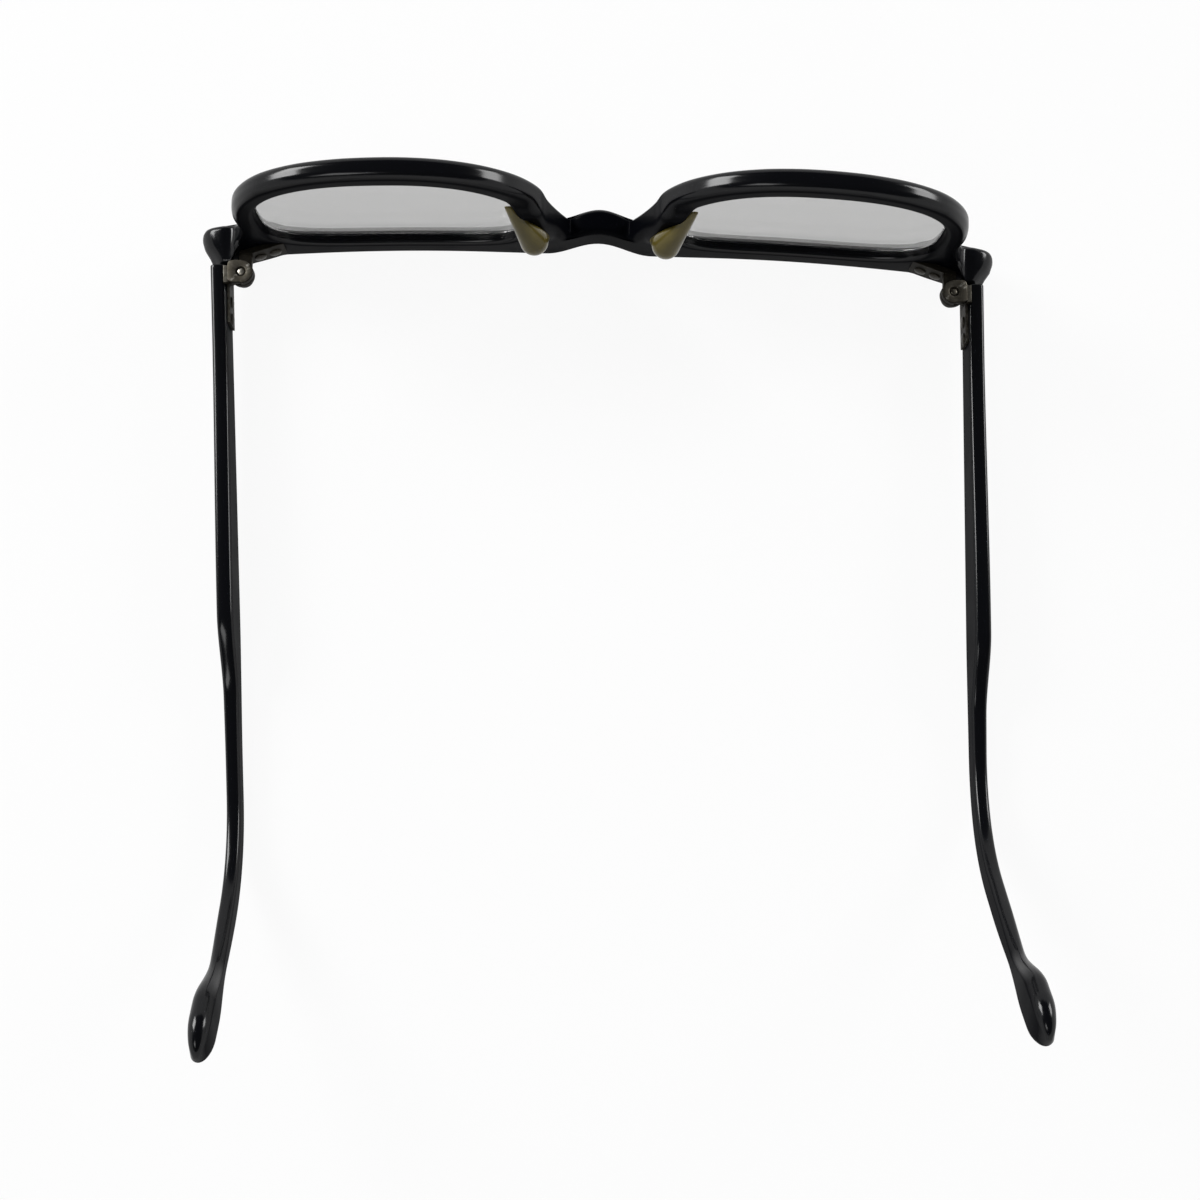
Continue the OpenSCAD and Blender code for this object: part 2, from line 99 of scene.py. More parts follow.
def eased(value: np.ndarray, marks: Marks, levels: Marks) -> np.ndarray:
    """Level at each place, going smoothly from one mark's level to the next one's.

    Args:
        value: Places at which the level is read.
        marks: Places whose level is given, rising.
        levels: Level at each mark.

    Returns:
        The level at each place.
    """
    out = np.full(np.shape(value), float(levels[0]))
    for i in range(1, len(marks)):
        out += (levels[i] - levels[i - 1]) * rise(value, marks[i - 1], marks[i])
    return out


def arc(start: float, end: float, steps: int) -> np.ndarray:
    """Angles in radians from start to end degrees, both included."""
    return np.radians(np.linspace(start, end, steps + 1))


def unit(ways: np.ndarray) -> np.ndarray:
    """The same directions with length 1."""
    return ways / np.linalg.norm(ways, axis=1)[:, None]


def aside(ways: np.ndarray) -> np.ndarray:
    """Directions in a plane, turned a quarter to the right."""
    return np.column_stack([ways[:, 1], -ways[:, 0]])


def between(start: np.ndarray, end: np.ndarray, steps: int) -> np.ndarray:
    """Evenly spaced points from each start to each end, both included."""
    share = np.linspace(0, 1, steps + 1)[None, :, None]
    return start[:, None, :] * (1 - share) + end[:, None, :] * share


def rotated(points: np.ndarray, degrees: float, axes: tuple[int, int]) -> np.ndarray:
    """Turns points about the origin in the plane of two axes.

    Args:
        points: Points, one in a row.
        degrees: Angle from the first axis toward the second.
        axes: Numbers of the two axes.

    Returns:
        The turned points.
    """
    c, s = math.cos(math.radians(degrees)), math.sin(math.radians(degrees))
    a, b = points[:, axes[0]], points[:, axes[1]]
    out = points.copy()
    out[:, axes[0]], out[:, axes[1]] = a * c - b * s, a * s + b * c
    return out


def circles(rings: list[tuple[np.ndarray | float, float]], steps: int) -> np.ndarray:
    """Grid of rings round the z axis.

    Args:
        rings: Radius, or radius in each direction, and height of each ring.
        steps: Points round a ring.

    Returns:
        The points, rings by directions.
    """
    angles = np.linspace(0, 2 * math.pi, steps, endpoint=False)
    c, s = np.cos(angles), np.sin(angles)
    return np.stack([np.column_stack([r * c, r * s, np.full(steps, z)]) for r, z in rings])


def rounding(low: float, high: float, soft: float) -> list[Pair]:
    """Inset and height of the rings up a wall whose lower and upper edges are rounded."""
    foot = [(soft * (1 - math.sin(a)), low + soft * (1 - math.cos(a))) for a in arc(0, 90, 3)]
    return foot + [(inset, low + high - z) for inset, z in reversed(foot)]


@dataclass(frozen=True)
class Stance:
    """How the frame lies: lean of the front, lean of the temples and place of the whole."""

    shift_y: float = 68.2365
    front_tilt: float = 6.5
    temple_lean: float = 2.4
    hinge_x: float = 63.7
    hinge_y: float = -7.8

    def tilted(self, points: np.ndarray) -> np.ndarray:
        """Turns points of the upright front by its lean and rests its brow on the table.

        Args:
            points: Points in millimetres, x to the side, y forward and z up.

        Returns:
            The leaning points, none of them below the table.
        """
        out = rotated(points, self.front_tilt, (1, 2))
        out[:, 2] = np.maximum(out[:, 2], 0.0)
        return out

    def leaned(self, points: np.ndarray, side: Side) -> np.ndarray:
        """Turns points of one temple, already on its side, about its hinge by the shared lean."""
        centre = np.array([side.value * self.hinge_x, self.hinge_y, 0.0])
        return rotated(points - centre, self.temple_lean, (0, 1)) + centre

    def placed(self, points: np.ndarray) -> list[list[float]]:
        """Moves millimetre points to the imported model's place, in metres."""
        return ((points + np.array([0.0, self.shift_y, 0.0])) * MM).tolist()


STANCE = Stance()


def shaded(name: str, mesh: bpy.types.Mesh, sharp: float) -> bpy.types.Object:
    """Makes a smooth-shaded object of a mesh.

    Args:
        name: Name of the new object.
        mesh: The finished mesh.
        sharp: Angle in degrees from which an edge stays sharp.

    Returns:
        The object, linked to the scene.
    """
    mesh.polygons.foreach_set("use_smooth", [True] * len(mesh.polygons))
    mesh.set_sharp_from_angle(angle=math.radians(sharp))
    piece = bpy.data.objects.new(name, mesh)
    bpy.context.scene.collection.objects.link(piece)
    piece.modifiers.new("even_shading", "WEIGHTED_NORMAL").keep_sharp = True
    return piece


class Draft:
    """Vertices and faces of one piece while it is being built."""

    def __init__(self) -> None:
        """Starts an empty draft."""
        self.points = np.zeros((0, 3))
        self.faces: list[tuple[int, ...]] = []

    def add_grid(self, points: np.ndarray, ring: bool = False, tube: bool = False) -> np.ndarray:
        """Adds a grid of points, filled with quads.

        Args:
            points: Points, rows by columns.
            ring: Whether the last row joins the first.
            tube: Whether the last column joins the first.

        Returns:
            The vertex numbers of the grid.
        """
        start = len(self.points)
        self.points = np.vstack([self.points, points.reshape(-1, 3)])
        numbers = np.arange(start, len(self.points)).reshape(points.shape[:-1])
        grid = np.vstack([numbers, numbers[:1]]) if ring else numbers
        grid = np.hstack([grid, grid[:, :1]]) if tube else grid
        corners = (grid[:-1, :-1], grid[:-1, 1:], grid[1:, 1:], grid[1:, :-1])
        self.faces.extend(map(tuple, np.stack(corners, axis=-1).reshape(-1, 4).tolist()))
        return numbers

    def add_solid(self, points: np.ndarray) -> "Draft":
        """Adds a tube, closes both of its ends and returns the draft."""
        grid = self.add_grid(points, tube=True)
        self.faces += [tuple(grid[0].tolist()), tuple(grid[-1].tolist())]
        return self

    def merge(self, other: "Draft") -> None:
        """Takes over the points and faces of another draft."""
        start = len(self.points)
        self.points = np.vstack([self.points, other.points])
        self.faces.extend(tuple(n + start for n in face) for face in other.faces)

    def moved(self, change: Callable[[np.ndarray], np.ndarray]) -> "Draft":
        """Applies a function of all points to the draft and returns the draft."""
        self.points = change(self.points)
        return self

    def on_temple(self, side: Side) -> "Draft":
        """Puts the left half's points on a side, leaning with its temple."""
        return self.moved(side.mirrored).moved(lambda points: STANCE.leaned(points, side))

    def to_object(self, name: str, sharp: float = 38.0) -> bpy.types.Object:
        """Turns the draft into a smooth-shaded mesh object.

        Args:
            name: Name of the new object.
            sharp: Angle in degrees from which an edge stays sharp.

        Returns:
            The object, linked to the scene.
        """
        mesh = bpy.data.meshes.new(name)
        mesh.from_pydata(STANCE.placed(self.points), [], self.faces)
        work = bmesh.new()
        work.from_mesh(mesh)
        bmesh.ops.remove_doubles(work, verts=work.verts, dist=WELD * MM)
        bmesh.ops.dissolve_degenerate(work, edges=work.edges, dist=SLIVER * MM)
        bmesh.ops.recalc_face_normals(work, faces=work.faces)
        work.to_mesh(mesh)
        work.free()
        return shaded(name, mesh, sharp)


def prism(outline: np.ndarray, low: float, high: float, soft: float) -> Draft:
    """Upright prism with rounded upper and lower edges.

    Args:
        outline: Corners in the plan, in order round it.
        low: Height of the lower face.
        high: Height of the upper face.
        soft: Radius of the rounded edges.

    Returns:
        The draft of the prism.
    """
    before = unit(outline - np.roll(outline, 1, axis=0))
    after = unit(np.roll(outline, -1, axis=0) - outline)
    turn = np.sign(np.sum(before[:, 0] * after[:, 1] - before[:, 1] * after[:, 0]))
    normal = aside(before + after) * turn / (1.0 + np.sum(before * after, axis=1)[:, None])
    rows = [
        np.column_stack([outline - normal * inset, np.full(len(outline), z)])
        for inset, z in rounding(low, high, soft)
    ]
    return Draft().add_solid(np.stack(rows))


def turned(profile: list[Pair], steps: int) -> Draft:
    """Solid of revolution round the z axis from a closed profile of radius and height."""
    draft = Draft()
    draft.add_grid(circles(profile, steps), ring=True, tube=True)
    return draft


@dataclass(frozen=True)
class LensOpening:
    """Edge of one lens opening in the plane of the front, on the wearer's left."""

    centre: Pair = (35.50, 19.158)
    reach_x: Pair = (23.90, 22.30)  # toward the temple, toward the nose
    reach_z: Pair = (19.942, 13.858)  # toward the lower rim, toward the brow
    square_low: Pair = (2.65, 2.35)  # on the temple's side, on the nose's side
    square_brow: Pair = (3.4, 4.1)

    def edge(self, angle: np.ndarray, grow: np.ndarray | float = 0.0) -> np.ndarray:
        """Points of the edge in the plane of the front.

        Args:
            angle: Directions in degrees, 0 toward the temple and 90 toward the lower rim.
            grow: How far the points lie outside the edge, along their direction.

        Returns:
            The points in x and z.
        """
        c, s = np.cos(np.radians(angle)), np.sin(np.radians(angle))
        low, brow = np.where(c >= 0, *self.square_low), np.where(c >= 0, *self.square_brow)
        power = np.where(s >= 0, low, brow)
        half_x, half_z = np.where(c >= 0, *self.reach_x), np.where(s >= 0, *self.reach_z)
        total = (np.abs(c) / half_x) ** power + (np.abs(s) / half_z) ** power
        far = total ** (-1.0 / power) + grow
        return np.column_stack([self.centre[0] + far * c, self.centre[1] + far * s])

    def outward(self, angle: np.ndarray) -> np.ndarray:
        """Unit directions square to the edge, away from the opening."""
        return unit(aside(self.edge(angle + 0.5) - self.edge(angle - 0.5)))


@dataclass(frozen=True)
class FrontPlan:
    """The front seen from above: its faces, the hinge seat and the butt of the endpiece.

    Pairs and fours of x or z are the places where a step begins and ends.
    """

    half_w: float = 71.6
    face: float = 4.63
    depth: float = 3.9
    bow_from: float = 20.0
    bow_r: float = 420.0
    bulge: float = 2.5
    rear_bulge: float = 1.9
    bulge_half: float = 9.504
    end_round: float = 1.2
    seat_x: float = 57.0
    seat_y: float = -0.8
    seat_slope: float = 20.0
    butt_x: Pair = (64.9, 65.85)
    butt_y: float = -5.85
    block_x: Pair = (55.2, 57.6)
    block_z: Pair = (9.1, 11.1)
    pad_seat: float = 1.3
    pad_seat_x: Marks = (7.6, 10.0, 15.5, 19.0)
    pad_seat_z: Marks = (9.0, 13.5, 26.5, 31.5)
    trim_y: Marks = (-1.0, 0.4, 1.7, 3.0, 4.4, 5.6)  # ahead of the butt
    trim: Marks = (2.2, 2.1, 1.45, 0.55, 0.1, 0.0)
    trim_x: Pair = (66.2, 71.2)
    drop: float = 0.55
    drop_y: float = 4.2  # ahead of the butt
    drop_x: Pair = (64.5, 67.5)
    drop_z: Pair = (6.0, 8.0)

    def bow(self, x: np.ndarray) -> np.ndarray:
        """How far the front falls back at a distance from its middle."""
        return np.maximum(x - self.bow_from, 0.0) ** 2 / (2 * self.bow_r)

    def bulged(self, x: np.ndarray) -> np.ndarray:
        """Share of the bridge's forward bulge at a distance from the middle."""
        return np.where(x < self.bulge_half, np.cos(np.pi / 2 * np.minimum(x / self.bulge_half, 1)) ** 2, 0)

    def face_y(self, x: np.ndarray) -> np.ndarray:
        """Front face, rounded off at the end."""
        over = np.clip(x - self.half_w + self.end_round, 0.0, self.end_round)
        drop = self.end_round - np.sqrt(self.end_round**2 - over**2)
        return self.face - self.bow(x) + self.bulge * self.bulged(x) - drop

    def rear_y(self, x: np.ndarray) -> np.ndarray:
        """Rear face of the rims and the bridge."""
        return self.face - self.depth - self.bow(x) + self.rear_bulge * self.bulged(x)

    def seat(self, x: np.ndarray | float) -> np.ndarray:
        """Slanted seat of the hinge plate."""
        return self.seat_y - np.maximum(x - self.seat_x, 0) * math.tan(math.radians(self.seat_slope))

    def rear_with_block(self, x: np.ndarray, z: np.ndarray, side: Side) -> np.ndarray:
        """Rear face with the pad seats and the endpiece block, before the front is leaned.

        Args:
            x: Distance from the middle.
            z: Height in the plane of the front.
            side: Side, because the butt is square to the leaning temple.

        Returns:
            The depth of the rear face at each place.
        """
        tilt, lean = math.radians(STANCE.front_tilt), math.radians(STANCE.temple_lean)
        rear = self.rear_y(x) - self.pad_seat * within(x, self.pad_seat_x) * within(z, self.pad_seat_z)
        butt = STANCE.hinge_y + (self.butt_y - STANCE.hinge_y) / math.cos(lean)
        butt = butt + side.value * (x - STANCE.hinge_x) * math.tan(lean)
        seat = self.seat(x)
        plan = seat + (butt - seat) * rise(x, *self.butt_x)
        block = (plan + z * math.sin(tilt)) / math.cos(tilt)
        height = rear * math.sin(tilt) + z * math.cos(tilt)
        share = (1 - rise(height, *self.block_z)) * rise(x, *self.block_x)
        return rear + (np.minimum(block, rear) - rear) * share

    def side_trim(self, points: np.ndarray) -> np.ndarray:
        """Draws the outer wall and the top of the endpiece in toward the butt.

        Args:
            points: Points of the upright front, on the left half.

        Returns:
            The points with the endpiece narrowed and lowered toward the butt.
        """
        x, z = points[:, 0], points[:, 2]
        ahead = rotated(points, STANCE.front_tilt, (1, 2))[:, 1] - self.butt_y
        inward = np.interp(ahead, self.trim_y, self.trim) * rise(x, *self.trim_x)
        fall = self.drop * (1 - rise(ahead, 0, self.drop_y))
        out = points.copy()
        out[:, 0] = np.minimum(x, self.half_w) - inward
        out[:, 2] -= fall * rise(x, *self.drop_x) * rise(z, *self.drop_z)
        return out


class Wires:
    """Adds nodes to a shader tree and wires them."""

    def __init__(self, tree: bpy.types.NodeTree) -> None:
        """Takes the tree to work in."""
        self.tree = tree

    def fill(self, node: bpy.types.Node, inputs: dict) -> bpy.types.Node:
        """Wires or sets the inputs of a node.

        Args:
            node: Node of the tree.
            inputs: Socket to wire or value to set, by the input's name or number.

        Returns:
            The same node.
        """
        for label, value in inputs.items():
            if isinstance(value, Socket):
                self.tree.links.new(value, node.inputs[label])
            else:
                node.inputs[label].default_value = value
        return node

    def add(self, kind: str, inputs: dict | None = None) -> bpy.types.Node:
        """Adds a shader node of a kind, with its inputs wired or set."""
        return self.fill(self.tree.nodes.new("ShaderNode" + kind), inputs or {})

    def math(self, operation: str, *values: Socket) -> Socket:
        """Result of a Math node."""
        node = self.add("Math", dict(enumerate(values)))
        node.operation = operation
        return node.outputs["Value"]

    def larger(self, *masks: Socket) -> Socket:
        """The largest of two or three masks."""
        first = masks[0] if len(masks) == 2 else self.larger(*masks[:-1])
        return self.math("MAXIMUM", first, masks[-1])

    def step(self, value: Socket, low: float, high: float) -> Socket:
        """Mask that goes from 0 to 1 while a value goes from low to high."""
        return self.add("MapRange", {"Value": value, "From Min": low, "From Max": high}).outputs["Result"]

    def level(self, mask: Socket, low: float, high: float) -> Socket:
        """Number that goes from low to high with a mask."""
        return self.add("MapRange", {"Value": mask, "To Min": low, "To Max": high}).outputs["Result"]

    def color(self, mask: Socket, low: Triple | Socket, high: Triple) -> Socket:
        """Colour that goes from low to high with a mask.

        Args:
            mask: Where the high colour shows.
            low: Colour where the mask is 0.
            high: Colour where the mask is 1.

        Returns:
            The mixed colour.
        """
        node = self.tree.nodes.new("ShaderNodeMix")
        node.data_type = "RGBA"
        first = low if isinstance(low, Socket) else (*low, 1.0)
        return self.fill(node, {"Factor": mask, "A": first, "B": (*high, 1.0)}).outputs["Result"]

    def noise(self, limits: Pair, inputs: dict) -> Socket:
        """Mask of noise that lies between two limits."""
        return self.step(self.add("TexNoise", inputs).outputs["Fac"], *limits)

    def bump(self, height: Socket, strength: float, distance: float) -> Socket:
        """Normal of a bumped surface."""
        inputs = {"Height": height, "Strength": strength, "Distance": distance}
        return self.add("Bump", inputs).outputs["Normal"]

    def effect(self, group: bpy.types.NodeTree, *values: float) -> Socket:
        """Mask of a shared effect, with its amount and, where it has a pattern, the scale."""
        node = self.tree.nodes.new("ShaderNodeGroup")
        node.node_tree = group
        return self.fill(node, dict(zip(("Amount", "Scale"), values))).outputs["Mask"]


class Effects:
    """Shader node groups that several finishes share, each with one mask."""

    def __init__(self) -> None:
        """Builds each group once."""
        self.edge_wear = self.group("edge_wear", self.worn_edges, "Scale")
        self.scratches = self.group("hairline_scratches", self.hairlines, "Scale")
        self.smudges = self.group("handling_smudges", self.patches, "Scale")
        self.outer_gloss = self.group("outer_gloss", self.polished)

    @staticmethod
    def group(name: str, pattern: Callable[..., Socket], *inputs: str) -> bpy.types.NodeTree:
        """Makes a group with an amount, other inputs and a mask.

        Args:
            name: Name of the group.
            pattern: Makes the mask from the wires, the place on the object and the inputs.
            inputs: Names of the pattern's inputs.

        Returns:
            The group.
        """
        tree = bpy.data.node_groups.new(name, "ShaderNodeTree")
        for label in ("Amount", *inputs):
            tree.interface.new_socket(label, in_out="INPUT", socket_type="NodeSocketFloat")
        tree.interface.new_socket("Mask", in_out="OUTPUT", socket_type="NodeSocketFloat")
        wires, given = Wires(tree), tree.nodes.new("NodeGroupInput").outputs
        mask = pattern(wires, wires.add("TexCoord").outputs["Object"], *(given[label] for label in inputs))
        scaled = wires.math("MULTIPLY", mask, given["Amount"])
        wires.fill(tree.nodes.new("NodeGroupOutput"), {"Mask": scaled})
        return tree

    @staticmethod
    def worn_edges(wires: Wires, place: Socket, scale: Socket) -> Socket:
        """Mask that is bright on convex edges, broken up by noise."""
        edge = wires.step(wires.add("NewGeometry").outputs["Pointiness"], 0.52, 0.62)
        broken = wires.noise((0.42, 0.66), {"Vector": place, "Scale": scale, "Detail": 4.0})
        return wires.math("MULTIPLY", edge, broken)

    @staticmethod
    def hairlines(wires: Wires, place: Socket, scale: Socket) -> Socket:
        """Mask of short hairline scratches along one direction.

        Args:
            wires: Wires of the group.
            place: Place on the object.
            scale: Scale of the noise.

        Returns:
            The mask.
        """
        turn = {"Vector": place, "Rotation": (0.3, 0.5, 0.9), "Scale": (1.0, 14.0, 14.0)}
        stretched = wires.add("Mapping", turn).outputs["Vector"]
        noise = {"Vector": stretched, "Scale": scale, "Detail": 6.0, "Roughness": 0.7}
        return wires.noise((0.60, 0.72), noise)

    @staticmethod
    def patches(wires: Wires, place: Socket, scale: Socket) -> Socket:
        """Mask of broad soft patches, as skin grease and handling leave."""
        noise = {"Vector": place, "Scale": scale, "Detail": 3.0, "Distortion": 0.8}
        return wires.noise((0.35, 0.75), noise)

    @staticmethod
    def polished(wires: Wires, place: Socket) -> Socket:
        """Mask of the faces that stay polished: forward, outer and, beside the bridge, upper ones.

        Args:
            wires: Wires of the group.
            place: Place on the object.

        Returns:
            The mask.
        """
        normal = wires.add("TexCoord").outputs["Normal"]
        facing = wires.add("SeparateXYZ", {"Vector": normal}).outputs
        beside = wires.add("SeparateXYZ", {"Vector": place}).outputs["X"]
        outer = wires.step(wires.math("MULTIPLY", facing["X"], beside), 0.012, 0.035)
        off_bridge = wires.step(wires.math("ABSOLUTE", beside), 0.007, 0.010)
        ahead, upper = (wires.step(facing[axis], 0.2, 0.6) for axis in "YZ")
        return wires.larger(outer, ahead, wires.math("MULTIPLY", upper, off_bridge))


@dataclass(frozen=True)
class Finish:
    """Colour and gloss that every finish has.

    The pairs of a finish are the amount and the scale of an effect, or, for its relief, the
    strength and the distance of the bump.
    """

    name: str
    color: Triple
    rough: float

    def inputs(self, wires: Wires, effects: Effects) -> dict:
        """Shader inputs that differ from the plain ones."""
        raise NotImplementedError

    def build(self, effects: Effects) -> bpy.types.Material:
        """Builds the material, with the plain colour and gloss where the finish has no others.

        Args:
            effects: The shared effects.

        Returns:
            The material.
        """
        material = bpy.data.materials.new(self.name)
        material.use_nodes = True
        wires = Wires(material.node_tree)
        plain = {"Base Color": (*self.color, 1.0), "Roughness": self.rough}
        wires.fill(wires.tree.nodes["Principled BSDF"], plain | self.inputs(wires, effects))
        return material


@dataclass(frozen=True)
class BlackPlastic(Finish):
    """Black plastic, polished outside and dulled where skin rubs it, with hairlines and handling marks."""

    name: str = "black_plastic"
    color: Triple = (0.0016, 0.0018, 0.0028)
    rough: float = 0.42
    rough_worn: float = 0.52
    worn: Triple = (0.0036, 0.0038, 0.0048)
    edges: Pair = (0.6, 700.0)
    hairlines: Pair = (0.5, 260.0)
    patches: Pair = (1.0, 60.0)
    coat: Pair = (0.02, 0.55)  # by the skin, outside
    coat_rough: float = 0.16
    relief: Pair = (0.06, 0.0001)
    ior: float = 1.04

    def inputs(self, wires: Wires, effects: Effects) -> dict:
        """Shader inputs that differ from the plain ones.

        Args:
            wires: Wires of the material.
            effects: The shared effects.

        Returns:
            Sockets and values, by the input's name.
        """
        marks = wires.effect(effects.smudges, *self.patches)
        lines = wires.effect(effects.scratches, *self.hairlines)
        worn = wires.larger(wires.effect(effects.edge_wear, *self.edges), lines)
        return {
            "Base Color": wires.color(worn, self.color, self.worn),
            "Roughness": wires.level(wires.larger(worn, marks), self.rough, self.rough_worn),
            "Coat Weight": wires.level(wires.effect(effects.outer_gloss, 1.0), *self.coat),
            "Normal": wires.bump(marks, *self.relief),
            "IOR": self.ior,
            "Coat IOR": 1.5,
            "Coat Roughness": self.coat_rough,
        }


@dataclass(frozen=True)
class ClearPlastic(Finish):
    """See-through plastic with a film of handling marks and a few fine scratches."""

    pale: Triple | None  # under the film, where it isn't the plain colour
    rough_worn: float
    patches: Pair
    hairlines: Pair
    extra: tuple[tuple[str, float], ...]  # the shader's other inputs

    def inputs(self, wires: Wires, effects: Effects) -> dict:
        """Shader inputs that differ from the plain ones.

        Args:
            wires: Wires of the material.
            effects: The shared effects.

        Returns:
            Sockets and values, by the input's name.
        """
        film = wires.effect(effects.smudges, *self.patches)
        marks = wires.larger(film, wires.effect(effects.scratches, *self.hairlines))
        inputs = dict(self.extra) | {"Roughness": wires.level(marks, self.rough, self.rough_worn)}
        if self.pale:
            inputs["Base Color"] = wires.color(film, self.color, self.pale)
        return inputs


@dataclass(frozen=True)
class Metal(Finish):
    """Worn metal with tarnish in patches, hairlines and bright rubbed edges."""

    tarnish: Triple = (0.055, 0.048, 0.036)
    bright: Triple = (0.46, 0.44, 0.39)
    rough_worn: float = 0.55
    edges: Pair = (1.0, 1600.0)
    hairlines: Pair = (0.9, 900.0)
    patches: Pair = (1.0, 500.0)
    relief: Pair = (0.25, 0.00005)
    metallic: float = 1.0
    ior: float = 1.5

    def inputs(self, wires: Wires, effects: Effects) -> dict:
        """Shader inputs that differ from the plain ones.

        Args:
            wires: Wires of the material.
            effects: The shared effects.

        Returns:
            Sockets and values, by the input's name.
        """
        wear = wires.effect(effects.edge_wear, *self.edges)
        lines = wires.effect(effects.scratches, *self.hairlines)
        patches = wires.effect(effects.smudges, *self.patches)
        dull = wires.color(patches, self.color, self.tarnish)
        return {
            "Base Color": wires.color(wear, dull, self.bright),
            "Roughness": wires.level(wires.larger(patches, lines), self.rough, self.rough_worn),
            "Normal": wires.bump(lines, *self.relief),
            "Metallic": self.metallic,
            "IOR": self.ior,
        }


FINISHES = (
    BlackPlastic(),
    ClearPlastic(
        "lens", (0.38, 0.38, 0.375), 0.02, pale=None, rough_worn=0.07, patches=(1.0, 38.0),
        hairlines=(0.35, 190.0), extra=(("Transmission Weight", 1.0), ("IOR", 1.5), ("Alpha", 0.9)),
    ),
    ClearPlastic(
        "pad_plastic", (0.092, 0.072, 0.012), 0.3, pale=(0.155, 0.122, 0.026), rough_worn=0.42,
        patches=(1.0, 110.0), hairlines=(0.5, 300.0),
        extra=(("Transmission Weight", 0.15), ("IOR", 1.2), ("Coat Weight", 0.5), ("Coat Roughness", 0.12)),
    ),
    Metal("hinge_metal", (0.102, 0.093, 0.074), 0.42),
    # Hinge metal darkened throughout as painted shade: the front plate, and the faces of the temple leaf
    # that don't look up.
    Metal(
        "hinge_metal_painted_shade", (0.016, 0.014, 0.010), 0.5, tarnish=(0.008, 0.007, 0.005),
        bright=(0.032, 0.027, 0.019), metallic=0.2, ior=1.12,
    ),
    # Rivet heads darkened as painted shade, like the hinge plate.
    Metal(
        "rivet_metal_painted_shade", (0.030, 0.026, 0.020), 0.4, tarnish=(0.012, 0.010, 0.008),
        bright=(0.09, 0.08, 0.06), metallic=0.5, ior=1.25,
    ),
    Metal("screw_metal", (0.60, 0.57, 0.50), 0.3, tarnish=(0.25, 0.22, 0.18)),
    Metal("core_metal", (0.50, 0.50, 0.50), 0.35),
)


class Palette:
    """The finished materials, by name."""

    def __init__(self) -> None:
        """Builds the shared effects and each material."""
        effects = Effects()
        self.materials = {finish.name: finish.build(effects) for finish in FINISHES}

    def dress(
        self, piece: bpy.types.Object, slot: str, body: str, node: str, finish: str = "", upper: str = ""
    ) -> None:
        """Gives a piece its material and its place in the frame.

        Args:
            piece: The finished object.
            slot: Material slot of the record.
            body: Body that the piece moves with.
            node: CAD node that it stands for.
            finish: Finish of the piece, where it isn't the slot's own.
            upper: Finish of the faces that look up, where the other faces carry a finish darkened as painted
                shade.
        """
        piece.data.materials.append(self.materials[finish or slot])
        # Faces that look up get the upper finish and the rest the darker one: painted light and shade by
        # facing.
        if upper:
            piece.data.materials.append(self.materials[upper])
            for face in piece.data.polygons:
                face.material_index = int(face.normal.z > UPWARD)
        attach(piece, body)
        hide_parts(node)
        LOG.info("%s: %d vertices, rides %s", piece.name, len(piece.data.vertices), body)


